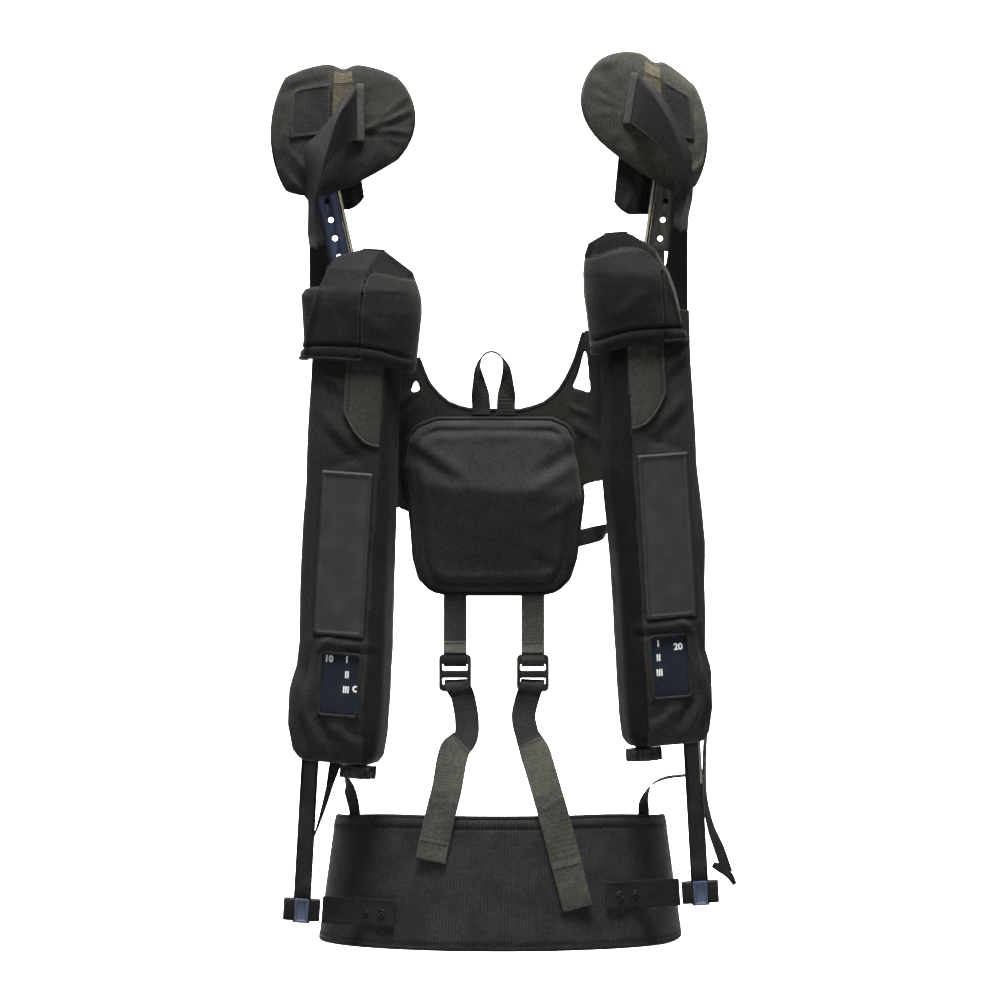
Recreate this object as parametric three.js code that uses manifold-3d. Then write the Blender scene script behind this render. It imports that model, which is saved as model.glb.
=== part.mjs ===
// A shoulder exoskeleton, seen as it is worn: +X to the wearer's right, +Y forward, +Z up, in millimetres.
// The origin is the middle of the back panel, on the plane that lies against the wearer's back.
import * as THREE from "three";
import { mergeVertices } from "three/addons/utils/BufferGeometryUtils.js";
import Module from "manifold-3d";

const wasm = await Module();
wasm.setup();

// Driving dimensions
const GAP = 0.4; // clearance between sewn or seated pieces
const HINGE_Y = 6; // hinge axis, in front of the plane of the back
const SLEEVE_LEAN = THREE.MathUtils.degToRad(3.3); // sleeves spread towards the belt
const SLEEVE_YAW = THREE.MathUtils.degToRad(18); // sleeve faces turn outward
const SLEEVE_INSET = 18; // sleeve centreline, inward of the hinge
const SLEEVE_BACK = -46; // sleeve centreline, behind the hinge
const SLEEVE_WALL = 2;
const SLEEVE_TOP = -42;
const SLEEVE_FOOT = -505;
const CAP_WALL = 2.5;
const CAP_MOUTH = 20; // the open side of the cap, in front of the sleeve centreline
const RAIL_WIDTH = 29;
const RAIL_DEPTH = 17;
const RAIL_TOP = 205;
const RAIL_HOLE = { diameter: 6, first: 37, pitch: 20.3, count: 8 };
const PIN_DIAMETER = 8;
const PAD_THICK = 16;
const PAD_TROUGH = 44; // how far the lobes of a cuff stand out from its valley
const PAD_Y = -19; // middle of the pad at its valley, behind the hinge
const ARM_STRAP_WIDTH = 54;
const WEBBING = 25; // width of the webbing under the back panel
const WEBBING_THICK = 1.8;
const KNOB_DIAMETER = 41;
const KNOB_TALL = 19;
const KNOB_INSET = -24; // knob axis, inward of the sleeve centreline
const BAR = { width: 19, depth: 13, x: 12, foot: -684 };
const BELT = { x: 7, y: 62, top: -339, foot: -481, thick: 6, wrap: 128 };
const BELT_HALF = { topX: 179, footX: 199, topY: 121, footY: 136 };
const TAB_DROP = 3; // the tabs lie on the belt a little below their clips
const TAIL = { narrow: 26, wide: 33, thick: 2.4 }; // free webbing under the buckles
const SHOULDER_STRAP = { width: 34, thick: 7 };
const THIN_STRAP = { width: 13, thick: 1.4 };

// The two arms are near mirror images; the columns are in millimetres and degrees, outward from the hinge.
const SIDES = [
  {
    name: "left",
    out: -1,
    hingeX: -157,
    hingeZ: 227,
    railTilt: 12.5,
    valley: 5,
    outerHalf: 76,
    innerHalf: 77,
    outerMid: 168,
    outerTall: 75,
    innerMid: 185,
    innerTall: 57,
    flapInner: -10,
    flapFoot: 86,
    strapStart: -11,
    strapFall: 31,
  },
  {
    name: "right",
    out: 1,
    hingeX: 172,
    hingeZ: 246,
    railTilt: 8,
    valley: 0,
    outerHalf: 56,
    innerHalf: 78,
    outerMid: 146,
    outerTall: 69,
    innerMid: 186,
    innerTall: 61,
    flapInner: -37,
    flapFoot: 62,
    strapStart: -19,
    strapFall: 34,
  },
];

const cloth = (colour) => new THREE.MeshStandardMaterial({ color: colour, roughness: 0.9, metalness: 0 });
const BLACK_CLOTH = cloth(0x202020);
const PANEL_CLOTH = cloth(0x45453e);
const KHAKI_WEBBING = cloth(0x696150);
const GREY_WEBBING = cloth(0x4c4b46);
const PATCH_RUBBER = new THREE.MeshStandardMaterial({ color: 0x3e3e42, roughness: 0.7, metalness: 0 });
const PLATE_BLUE = new THREE.MeshStandardMaterial({ color: 0x282e3a, roughness: 0.35, metalness: 0.1 });
const BLACK_PLASTIC = new THREE.MeshStandardMaterial({ color: 0x1a1a1b, roughness: 0.5, metalness: 0 });
const ALUMINIUM = new THREE.MeshStandardMaterial({ color: 0x50525a, roughness: 0.4, metalness: 0.8 });
const STEEL = new THREE.MeshStandardMaterial({ color: 0x2c2c2e, roughness: 0.4, metalness: 0.8 });

const lerp = THREE.MathUtils.lerp;
const smooth = THREE.MathUtils.smoothstep;
const vec = (x, y, z) => new THREE.Vector3(x, y, z);

// A column of a table, interpolated at a given value of its key column.
function read(rows, key, column, value) {
  const last = rows.length - 1;
  if (value <= rows[0][key]) return rows[0][column];
  for (let i = 0; i < last; i++) {
    const a = rows[i];
    const b = rows[i + 1];
    if (value <= b[key]) return lerp(a[column], b[column], (value - a[key]) / (b[key] - a[key]));
  }
  return rows[last][column];
}

// Turns a geometry that was mirrored on the way, so that its faces point out.
function outward(geometry) {
  const p = geometry.attributes.position;
  const index = geometry.index.array;
  const a = vec(0, 0, 0);
  const b = vec(0, 0, 0);
  const c = vec(0, 0, 0);
  let volume = 0;
  for (let i = 0; i < index.length; i += 3) {
    a.fromBufferAttribute(p, index[i]);
    b.fromBufferAttribute(p, index[i + 1]);
    c.fromBufferAttribute(p, index[i + 2]);
    volume += a.dot(b.cross(c));
  }
  if (volume < 0) index.reverse();
  return geometry;
}

// Moves each point of a closed unit form to where place() puts it.
function warp(form, place) {
  form.deleteAttribute("normal");
  form.deleteAttribute("uv");
  const made = mergeVertices(form, 1e-4);
  const p = made.attributes.position;
  const at = vec(0, 0, 0);
  for (let i = 0; i < p.count; i++) {
    const to = place(at.fromBufferAttribute(p, i));
    p.setXYZ(i, to.x, to.y, to.z);
  }
  return outward(made);
}

// A slab of cloth: u and v run along it and w through it, each from 0 to 1.
function sheet(uCuts, vCuts, place) {
  const slab = new THREE.BoxGeometry(1, 1, 1, uCuts, vCuts, 1);
  return warp(slab, (p) => place(p.x + 0.5, p.y + 0.5, p.z + 0.5));
}

// A closed tube: the angle goes round it from its back, t runs up it and ring is 0 at the middle of an end.
function tube(sides, cuts, place) {
  const form = new THREE.CylinderGeometry(1, 1, 1, sides, cuts);
  return warp(form, (p) => place(Math.atan2(p.x, p.z), p.y + 0.5, Math.hypot(p.x, p.z)));
}

// A flat strap through stations { at, across }, as wide as width says, or as each station's own width.
function strap(stations, width, thick, cutsEach = 3) {
  const route = new THREE.CatmullRomCurve3(stations.map((s) => vec(...s.at)), false, "centripetal");
  const turn = new THREE.CatmullRomCurve3(stations.map((s) => vec(...s.across)), false, "centripetal");
  const wide = stations.map((s, i) => ({ i: i / (stations.length - 1), width: s.width ?? width }));
  return sheet((stations.length - 1) * cutsEach, 1, (u, v, w) => {
    const along = route.getTangent(u);
    const face = turn.getPoint(u).cross(along).normalize();
    const across = along.clone().cross(face);
    return route
      .getPoint(u)
      .addScaledVector(across, (v - 0.5) * read(wide, "i", "width", u))
      .addScaledVector(face, (w - 0.5) * thick);
  });
}

// Manifold solids for cuts and joins
function solid(geometry) {
  const bare = geometry.clone();
  bare.deleteAttribute("normal");
  bare.deleteAttribute("uv");
  const merged = mergeVertices(bare, 1e-4);
  return new wasm.Manifold(
    new wasm.Mesh({
      numProp: 3,
      vertProperties: new Float32Array(merged.attributes.position.array),
      triVerts: new Uint32Array(merged.index.array),
    }),
  );
}

function geometryOf(made) {
  const mesh = made.getMesh();
  const geometry = new THREE.BufferGeometry();
  geometry.setAttribute("position", new THREE.BufferAttribute(mesh.vertProperties, 3));
  geometry.setIndex(new THREE.BufferAttribute(mesh.triVerts, 1));
  return geometry;
}

const box = (x, y, z) => new THREE.BoxGeometry(x, y, z);
const rodAlongX = (diameter, length, sides = 20) =>
  new THREE.CylinderGeometry(diameter / 2, diameter / 2, length, sides).rotateZ(Math.PI / 2);

function add(group, name, geometry, material) {
  const mesh = new THREE.Mesh(geometry, material);
  mesh.name = name;
  group.add(mesh);
  return mesh;
}

// Sleeve: a soft box section that swells over the end of the housing
const SLEEVE_ROWS = [
  { z: -505, width: 39, depth: 27, shift: 2 },
  { z: -496, width: 44, depth: 30, shift: 3 },
  { z: -470, width: 48, depth: 32, shift: 5 },
  { z: -432, width: 47.5, depth: 32, shift: 5 },
  { z: -405, width: 44, depth: 31, shift: 2.5 },
  { z: -340, width: 43.5, depth: 31, shift: 2.5 },
  { z: -150, width: 47, depth: 31, shift: 4 },
  { z: -42, width: 46, depth: 30, shift: 4 },
];
const SLEEVE_SIDES = 20;
const SQUARENESS = 0.5;

const squared = (value) => Math.sign(value) * Math.abs(value) ** SQUARENESS;

function sleevePoint(angle, z, ring, grow) {
  const width = read(SLEEVE_ROWS, "z", "width", z) + grow;
  const depth = read(SLEEVE_ROWS, "z", "depth", z) + grow;
  const shift = read(SLEEVE_ROWS, "z", "shift", z);
  return vec(shift + ring * width * squared(Math.sin(angle)), ring * depth * squared(Math.cos(angle)), z);
}

function sleeveForm(grow, foot, top) {
  const rows = SLEEVE_ROWS.length - 1;
  const level = (t) => {
    const i = Math.min(Math.floor(t * rows + 1e-6), rows - 1);
    return lerp(SLEEVE_ROWS[i].z, SLEEVE_ROWS[i + 1].z, t * rows - i);
  };
  return tube(SLEEVE_SIDES, rows, (angle, t, ring) => {
    const z = level(t);
    const end = t < 1e-6 ? foot : t > 1 - 1e-6 ? top : z;
    const made = sleevePoint(angle, z, ring, grow);
    return vec(made.x, made.y, end);
  });
}

// A thin piece on the back face of the sleeve, between two offsets from its cloth
function onSleeve(uCuts, vCuts, outline, inner, outer) {
  return sheet(uCuts, vCuts, (u, v, w) => {
    const { x, z } = outline(u, v);
    const width = read(SLEEVE_ROWS, "z", "width", z);
    const depth = read(SLEEVE_ROWS, "z", "depth", z);
    const across = (x - read(SLEEVE_ROWS, "z", "shift", z)) / width;
    const face = depth * (1 - Math.min(1, Math.abs(across)) ** (2 / SQUARENESS)) ** (SQUARENESS / 2);
    return vec(x, -face - lerp(inner, outer, w), z);
  });
}

const WINDOW = { inner: -21, outer: 24, foot: -459, top: -391 };
const LABEL = { inner: -23, outer: 34, foot: -369, top: -193, thick: 2.6 };
const INSERT = { inner: -26, outer: 12, foot: -163, top: -79, rise: 34, thick: 1.4 };

function windowOutline(inset) {
  return (u, v) => ({
    x: lerp(WINDOW.inner + inset, WINDOW.outer - inset, u),
    z: lerp(WINDOW.foot + inset, WINDOW.top - inset, v),
  });
}

function sleeveGeometry() {
  const cover = solid(sleeveForm(0, SLEEVE_FOOT, SLEEVE_TOP));
  const hollow = solid(sleeveForm(-SLEEVE_WALL, SLEEVE_FOOT - 2, SLEEVE_TOP + 2));
  const view = solid(onSleeve(1, 1, windowOutline(0), -6, 6));
  return geometryOf(cover.subtract(hollow).subtract(view));
}

// Cap: half a hood, from its hem up over the hinge; size is half the width across
const CAP_ROWS = [
  { t: 0, z: -74, size: 51.5, deep: 58 },
  { t: 0.12, z: -60, size: 52, deep: 59 },
  { t: 0.2, z: -56, size: 54, deep: 62 },
  { t: 0.45, z: -20, size: 56, deep: 64 },
  { t: 0.65, z: 4, size: 54, deep: 61 },
  { t: 0.8, z: 24, size: 48, deep: 51 },
  { t: 0.92, z: 38, size: 34, deep: 32 },
  { t: 1, z: 44, size: 19, deep: 15 },
];
const CAP_SQUARENESS = 0.66;
const CAP_SHIFT = 2;

function capPoint(s, t, inset) {
  const angle = (s * Math.PI) / 2;
  const size = read(CAP_ROWS, "t", "size", t) - inset;
  const deep = read(CAP_ROWS, "t", "deep", t) - inset;
  const drop = inset * smooth(t, 0.6, 1);
  const x = size * Math.sign(angle) * Math.abs(Math.sin(angle)) ** CAP_SQUARENESS;
  const y = CAP_MOUTH - deep * Math.max(0, Math.cos(angle)) ** CAP_SQUARENESS;
  return vec(CAP_SHIFT + x, y, read(CAP_ROWS, "t", "z", t) - drop);
}

function capGeometry() {
  const shell = sheet(12, 10, (u, v, w) => capPoint(2 * u - 1, v, (1 - w) * CAP_WALL));
  const sleeve = solid(sleeveForm(GAP, SLEEVE_FOOT, SLEEVE_TOP + GAP));
  return geometryOf(solid(shell).subtract(sleeve));
}

// Rail: a channel with a step on its inner edge, and the eye of the hinge at its foot
function railGeometry(side) {
  const half = RAIL_WIDTH / 2;
  const back = -RAIL_DEPTH / 2;
  const web = 2.5;
  const step = 5;
  const section = new THREE.Shape();
  section.moveTo(-half + step, back);
  section.lineTo(half, back);
  section.lineTo(half, -back);
  section.lineTo(half - web, -back);
  section.lineTo(half - web, back + web);
  section.lineTo(-half + step + web, back + web);
  section.lineTo(-half + step + web, back + web + step);
  section.lineTo(-half + web, back + web + step);
  section.lineTo(-half + web, -back);
  section.lineTo(-half, -back);
  section.lineTo(-half, back + step);
  section.lineTo(-half + step, back + step);
  const channelFoot = 24;
  const channel = new THREE.ExtrudeGeometry(section, { depth: RAIL_TOP - channelFoot, bevelEnabled: false });
  let made = solid(channel.translate(0, 0, channelFoot));
  for (let i = 0; i < RAIL_HOLE.count; i++) {
    const drill = new THREE.CylinderGeometry(RAIL_HOLE.diameter / 2, RAIL_HOLE.diameter / 2, 8, 8);
    drill.translate(2, back, RAIL_HOLE.first + i * RAIL_HOLE.pitch);
    made = made.subtract(solid(drill));
  }
  const tilt = THREE.MathUtils.degToRad(side.railTilt);
  const eyeLength = 24;
  const tilted = solid(geometryOf(made).rotateY(tilt));
  const eye = solid(rodAlongX(22, eyeLength)).add(solid(box(eyeLength, 16, 26).translate(0, 0, 13)));
  return geometryOf(tilted.add(eye).subtract(solid(rodAlongX(PIN_DIAMETER + 2 * GAP, 60))));
}

function bracketGeometry() {
  const base = solid(box(36, 44, 10).translate(0, -14, SLEEVE_TOP + GAP + 7.4));
  const cheekTop = 9;
  const cheekTall = 42;
  const cheek = (x) => solid(box(4, 15, cheekTall).translate(x, 0, cheekTop - cheekTall / 2));
  const pin = solid(rodAlongX(PIN_DIAMETER, 38));
  return geometryOf(base.add(cheek(15)).add(cheek(-15)).add(pin));
}

// Cuff: a padded trough whose two lobes curl towards the arm that lies in it
function padSurface(side, s, t) {
  const corner = 0.8;
  const across = s * Math.sqrt(1 - (corner * t * t) / 2);
  const up = t * Math.sqrt(1 - (corner * s * s) / 2);
  const half = s > 0 ? side.outerHalf : side.innerHalf;
  const share = smooth(across, -0.9, 0.9);
  const notch = 6 * Math.exp(-((s / 0.16) ** 2)) * Math.max(0, t) ** 3;
  const mid = lerp(side.innerMid, side.outerMid, share);
  const tall = lerp(side.innerTall, side.outerTall, share);
  const plump = 1 - 0.72 * Math.max(Math.abs(s), Math.abs(t)) ** 6;
  const y = PAD_Y - PAD_TROUGH * across * across;
  return { x: side.valley + across * half, y, z: mid + up * tall - notch, plump };
}

function padGeometry(side) {
  return sheet(12, 10, (u, v, w) => {
    const p = padSurface(side, 2 * u - 1, 2 * v - 1);
    return vec(p.x, p.y + (w - 0.5) * PAD_THICK * p.plump, p.z);
  });
}

// A thin piece on the hollow side of the pad, over a range of its own s and t
function onPad(side, range, uCuts, vCuts, thick) {
  return sheet(uCuts, vCuts, (u, v, w) => {
    const p = padSurface(side, lerp(range.inner, range.outer, u), lerp(range.foot, range.top, v));
    return vec(p.x, p.y - 0.5 * PAD_THICK * p.plump - GAP - 0.3 - w * thick, p.z);
  });
}

const PATCH_RANGE = { inner: 0.2, outer: 0.74, foot: -0.06, top: 0.7 };
const BAND_RANGE = { inner: -0.15, outer: 0.15, foot: -0.02, top: 0.93 };

// The pocket cloth lies on the back of the pad and goes round behind the rail
function flapGeometry(side) {
  const thick = 2;
  const width = 64;
  const top = 196;
  const tilt = Math.tan(THREE.MathUtils.degToRad(side.railTilt));
  return sheet(12, 3, (u, v, w) => {
    const z = lerp(side.flapFoot, top, v);
    const x = side.flapInner + u * width + (v - 0.5) * (top - side.flapFoot) * tilt * 0.6;
    const half = x > side.valley ? side.outerHalf : side.innerHalf;
    const padBack = PAD_Y + PAD_THICK / 2 + GAP - PAD_TROUGH * ((x - side.valley) / half) ** 2;
    const clear = RAIL_DEPTH / 2 + GAP + 0.2;
    const off = Math.abs(x - z * tilt) - RAIL_WIDTH / 2;
    const y = lerp(clear, padBack, smooth(off, 6, 24));
    return vec(x, y + w * thick, z);
  });
}

// The strap starts on the pad by its valley, comes round over the outer lobe and runs down beside the rail
function armStrapGeometry(side) {
  const startShare = (side.strapStart - side.valley) / side.innerHalf;
  const startY = PAD_Y - PAD_THICK / 2 - PAD_TROUGH * startShare ** 2 - GAP - 2.4;
  const stations = [
    { at: [side.strapStart, startY, 184], across: [0, 0, 1], width: ARM_STRAP_WIDTH },
    { at: [2, -56, 182], across: [0.05, 0.1, 1], width: 52 },
    { at: [18, -67, 162], across: [0.3, 0.1, 1], width: 46 },
    { at: [28, -69, 138], across: [0.8, 0.15, 0.55], width: 38 },
    { at: [31, -72, 112], across: [0.8, 0.6, 0.1], width: 34 },
    { at: [side.strapFall - 1, -66, 86], across: [0.5, 0.85, 0], width: 34 },
    { at: [side.strapFall + 3, -32, 58], across: [0.4, 0.9, 0], width: 38 },
    { at: [side.strapFall + 5, 8, 36], across: [0.3, 0.95, 0], width: 36 },
    { at: [side.strapFall + 8, 12, 2], across: [0.3, 0.95, 0], width: 36 },
    { at: [side.strapFall + 11, 10, -32], across: [0.2, 1, 0], width: 30 },
  ];
  return strap(stations, ARM_STRAP_WIDTH, 2, 3);
}

// Knob: round lobes on a rim, over a short collar
function knobGeometry() {
  const lobes = 12;
  const rim = KNOB_DIAMETER / 2;
  const outline = new THREE.Shape();
  const steps = lobes * 4;
  for (let i = 0; i <= steps; i++) {
    const angle = (i / steps) * Math.PI * 2;
    const r = rim - 1.6 + 1.6 * Math.cos(lobes * angle);
    if (i === 0) outline.moveTo(r, 0);
    else if (i < steps) outline.lineTo(r * Math.cos(angle), r * Math.sin(angle));
  }
  outline.closePath();
  const head = new THREE.ExtrudeGeometry(outline, { depth: KNOB_TALL - 5, bevelEnabled: false });
  const collar = new THREE.CylinderGeometry(9, 9, 6, 20).rotateX(Math.PI / 2);
  return geometryOf(solid(head.translate(0, 0, -KNOB_TALL)).add(solid(collar.translate(0, 0, -3))));
}

function roundedRect(width, height, radius) {
  const shape = new THREE.Shape();
  const x = width / 2;
  const y = height / 2;
  shape.absarc(x - radius, y - radius, radius, 0, Math.PI / 2);
  shape.absarc(-x + radius, y - radius, radius, Math.PI / 2, Math.PI);
  shape.absarc(-x + radius, -y + radius, radius, Math.PI, Math.PI * 1.5);
  shape.absarc(x - radius, -y + radius, radius, Math.PI * 1.5, Math.PI * 2);
  return shape;
}

function barGeometry() {
  const section = roundedRect(BAR.width, BAR.depth, 4);
  const top = SLEEVE_FOOT - GAP;
  const length = { depth: top - BAR.foot, curveSegments: 3, bevelEnabled: false };
  return new THREE.ExtrudeGeometry(section, length).translate(0, 0, BAR.foot);
}

const CLIP = { width: 40, depth: 26, tall: 23 };
function clipGeometry() {
  const block = roundedRect(CLIP.width, CLIP.depth, 7);
  block.holes.push(roundedRect(BAR.width + 2 * GAP, BAR.depth + 2 * GAP, 4 + GAP));
  return new THREE.ExtrudeGeometry(block, { depth: CLIP.tall, curveSegments: 3, bevelEnabled: false });
}

// Builds one arm: the side group stands at its hinge with x outward, the sleeve frame leans and turns in it.
const sleeveFrames = [];
function buildSide(root, side) {
  const hinge = new THREE.Group();
  hinge.position.set(side.hingeX, HINGE_Y, side.hingeZ);
  hinge.scale.x = side.out;
  root.add(hinge);
  const leaning = new THREE.Group();
  leaning.rotation.y = -SLEEVE_LEAN;
  hinge.add(leaning);
  const sleeve = new THREE.Group();
  sleeve.position.set(-SLEEVE_INSET, SLEEVE_BACK, 0);
  sleeve.rotation.z = SLEEVE_YAW;
  leaning.add(sleeve);
  sleeveFrames.push(sleeve);
  const name = (piece) => `${piece}_${side.name}`;

  add(hinge, name("cuff_pad"), padGeometry(side), BLACK_CLOTH);
  add(hinge, name("cuff_webbing"), onPad(side, BAND_RANGE, 2, 6, WEBBING_THICK), KHAKI_WEBBING);
  add(hinge, name("cuff_patch"), onPad(side, PATCH_RANGE, 6, 6, 1.6), BLACK_CLOTH);
  add(hinge, name("cuff_flap"), flapGeometry(side), BLACK_CLOTH);
  add(hinge, name("arm_strap"), armStrapGeometry(side), BLACK_CLOTH);
  add(hinge, name("arm_rail"), railGeometry(side), ALUMINIUM);
  add(hinge, name("hinge_bracket"), bracketGeometry(), STEEL);

  const housing = sleeveForm(-SLEEVE_WALL - GAP, SLEEVE_FOOT + 2, SLEEVE_TOP + 1);
  add(sleeve, name("spring_housing"), housing, BLACK_PLASTIC);
  add(sleeve, name("sleeve"), sleeveGeometry(), BLACK_CLOTH);
  add(sleeve, name("shoulder_cap"), capGeometry(), BLACK_CLOTH);
  const label = (u, v) => ({ x: lerp(LABEL.inner, LABEL.outer, u), z: lerp(LABEL.foot, LABEL.top, v) });
  add(sleeve, name("label_patch"), onSleeve(8, 6, label, GAP, GAP + LABEL.thick), PATCH_RUBBER);
  const insert = (u, v) => ({
    x: lerp(INSERT.inner, INSERT.outer, u),
    z: lerp(INSERT.foot + INSERT.rise * u * u, INSERT.top, v),
  });
  add(sleeve, name("insert_panel"), onSleeve(6, 4, insert, GAP, GAP + INSERT.thick), PANEL_CLOTH);
  const plate = onSleeve(6, 6, windowOutline(GAP), -SLEEVE_WALL, -SLEEVE_WALL + 1.2);
  add(sleeve, name("scale_plate"), plate, PLATE_BLUE);
  const knob = add(sleeve, name("knob"), knobGeometry(), BLACK_PLASTIC);
  knob.position.set(KNOB_INSET, -1, SLEEVE_FOOT + 2 - GAP);

  const barAt = vec(BAR.x, SLEEVE_BACK + 9, 0);
  add(leaning, name("side_bar"), barGeometry(), STEEL).position.copy(barAt);
  const clip = add(leaning, name("belt_clip"), clipGeometry(), BLACK_PLASTIC);
  clip.position.set(barAt.x, barAt.y, BAR.foot + 3);
}

// Belt: a cone wrapped round the waist, whose ends taper to the front straps
function beltPoint(degrees, z, grow) {
  const t = (BELT.top - z) / (BELT.top - BELT.foot);
  const angle = THREE.MathUtils.degToRad(degrees);
  const x = BELT.x + (lerp(BELT_HALF.topX, BELT_HALF.footX, t) + grow) * Math.sin(angle);
  return vec(x, BELT.y - (lerp(BELT_HALF.topY, BELT_HALF.footY, t) + grow) * Math.cos(angle), z);
}

const FRONT_STRAP = { width: 40, thick: 2.4, z: -415 };
function beltGeometry() {
  return sheet(32, 3, (u, v, w) => {
    const degrees = lerp(-BELT.wrap, BELT.wrap, u);
    const taper = smooth(Math.abs(degrees), 84, BELT.wrap);
    const foot = lerp(BELT.foot, FRONT_STRAP.z - FRONT_STRAP.width / 2 - 4, taper);
    const top = lerp(BELT.top, FRONT_STRAP.z + FRONT_STRAP.width / 2 + 4, taper);
    return beltPoint(degrees, lerp(foot, top, v), (w - 1) * BELT.thick);
  });
}

function frontStrapGeometry(out) {
  const from = BELT.wrap - 10;
  const to = 173;
  return sheet(12, 1, (u, v, w) => {
    const z = FRONT_STRAP.z + (v - 0.5) * FRONT_STRAP.width;
    const level = lerp(z, FRONT_STRAP.z, smooth(u, 0.3, 0.9));
    const made = beltPoint(out * lerp(from, to, u), level, GAP + 0.6 + w * FRONT_STRAP.thick);
    return vec(made.x, made.y, z);
  });
}

function claspGeometry() {
  const at = beltPoint(180, FRONT_STRAP.z, GAP + 0.6 + FRONT_STRAP.thick / 2);
  const body = solid(box(62, 12, 48).translate(at.x, at.y - 1, at.z));
  const slot = solid(box(70, FRONT_STRAP.thick + 3, FRONT_STRAP.width + 2).translate(at.x, at.y - 1, at.z));
  const wall = solid(box(14, 12, 48).translate(at.x, at.y - 1, at.z));
  return geometryOf(body.subtract(slot).add(wall));
}

// A tab is riveted to the belt and stands off to the clip at the foot of the bar
const TAB = { width: 30, thick: 3, inner: 112, rivets: [125, 143] };
function tabGeometry(side, clipCentre) {
  const tabZ = clipCentre.z - TAB_DROP;
  const onBelt = (distance) => {
    const t = (BELT.top - tabZ) / (BELT.top - BELT.foot);
    const half = lerp(BELT_HALF.topX, BELT_HALF.footX, t);
    const angle = THREE.MathUtils.radToDeg(Math.asin(distance / half));
    return beltPoint(side.out * angle, tabZ, GAP + 1.1 + TAB.thick / 2);
  };
  const slant = beltPoint(side.out * 40, tabZ + 1, 0).sub(beltPoint(side.out * 40, tabZ - 1, 0));
  const start = onBelt(TAB.inner);
  const middle = onBelt(TAB.rivets[0]);
  const last = onBelt(TAB.rivets[1]);
  const end = clipCentre.clone();
  end.x -= side.out * (CLIP.width / 2 + GAP + 1.4);
  const between = last.clone().lerp(end, 0.5);
  between.y -= 3;
  const stations = [start, middle, last].map((p) => ({ at: p.toArray(), across: slant.toArray() }));
  stations.push({ at: between.toArray(), across: [0, 0, 1] });
  stations.push({ at: end.toArray(), across: [0, 0, 1] });
  let made = solid(strap(stations, TAB.width, TAB.thick, 3));
  for (const rivet of [middle, last]) {
    const head = new THREE.CylinderGeometry(3, 3.6, 2.4, 12).rotateX(Math.PI / 2);
    made = made.add(solid(head.translate(rivet.x, rivet.y - TAB.thick / 2 - 0.6, rivet.z)));
  }
  return geometryOf(made);
}

// Back panel: a quilted pad, bowed towards the back; its outline by height
const PANEL_ROWS = [
  { z: -101, left: -48, right: 50, bow: 0 },
  { z: -97, left: -64, right: 66, bow: 0 },
  { z: -84, left: -78, right: 79, bow: 1 },
  { z: -62, left: -85, right: 87, bow: 3 },
  { z: -28, left: -88, right: 92, bow: 5 },
  { z: 4, left: -92, right: 96, bow: 7 },
  { z: 36, left: -99, right: 92, bow: 5 },
  { z: 66, left: -93, right: 87, bow: 2 },
  { z: 80, left: -84, right: 80, bow: 0 },
  { z: 88, left: -60, right: 60, bow: 0 },
];
const PANEL = { thick: 10, y: -4.5 };
function panelGeometry() {
  const foot = PANEL_ROWS[0].z;
  const top = PANEL_ROWS.at(-1).z;
  return sheet(10, 12, (u, v, w) => {
    const z = lerp(foot, top, v);
    const edge = Math.max(Math.abs(2 * u - 1), Math.abs(2 * v - 1));
    const thick = PANEL.thick * (1 - 0.6 * edge ** 5);
    const bow = read(PANEL_ROWS, "z", "bow", z) * (1 - (2 * u - 1) ** 2);
    const x = lerp(read(PANEL_ROWS, "z", "left", z), read(PANEL_ROWS, "z", "right", z), u);
    return vec(x, PANEL.y - w * (thick + bow), z);
  });
}

// Yoke: the cloth behind the panel, with the neckline above and a wing to each sleeve
const YOKE_ROWS = [
  { x: -126, foot: -4, top: 132, y: -30 },
  { x: -110, foot: -6, top: 144, y: -13 },
  { x: -100, foot: -10, top: 146, y: -1 },
  { x: -90, foot: -14, top: 146, y: -1 },
  { x: -80, foot: -18, top: 145, y: -1 },
  { x: -69, foot: -20, top: 125, y: -1 },
  { x: -50, foot: -20, top: 106, y: -1 },
  { x: -25, foot: -20, top: 98, y: -1 },
  { x: 27, foot: -20, top: 97, y: -1 },
  { x: 54, foot: -20, top: 105, y: -1 },
  { x: 71, foot: -18, top: 120, y: -1 },
  { x: 86, foot: 2, top: 148, y: -1 },
  { x: 98, foot: 16, top: 164, y: -1 },
  { x: 110, foot: 20, top: 164, y: -10 },
  { x: 122, foot: 22, top: 160, y: -21 },
  { x: 136, foot: 24, top: 150, y: -32 },
];
const YOKE_THICK = 3;
// Corners of the open triangles between neckline, wing and sleeve, as x and z
const YOKE_SLITS = [
  [[99, 152], [85, 122], [104, 117]],
  [[-84, 131], [-90, 116], [-80, 119]],
];
function yokeGeometry() {
  const columns = YOKE_ROWS.length - 1;
  const cloth = sheet(columns, 4, (u, v, w) => {
    const i = Math.min(Math.floor(u * columns + 1e-6), columns - 1);
    const x = lerp(YOKE_ROWS[i].x, YOKE_ROWS[i + 1].x, u * columns - i);
    const z = lerp(read(YOKE_ROWS, "x", "foot", x), read(YOKE_ROWS, "x", "top", x), v);
    return vec(x, read(YOKE_ROWS, "x", "y", x) - w * YOKE_THICK, z);
  });
  let made = solid(cloth);
  for (const frame of sleeveFrames) {
    const clear = sleeveForm(GAP + 0.2, SLEEVE_FOOT, SLEEVE_TOP + 1).applyMatrix4(frame.matrixWorld);
    made = made.subtract(solid(outward(clear)));
  }
  for (const corners of YOKE_SLITS) {
    const slit = new THREE.Shape(corners.map(([x, z]) => new THREE.Vector2(x, z)));
    const cutter = new THREE.ExtrudeGeometry(slit, { depth: 80, bevelEnabled: false }).rotateX(Math.PI / 2);
    made = made.subtract(solid(cutter.translate(0, 30, 0)));
  }
  return geometryOf(made);
}

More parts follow.
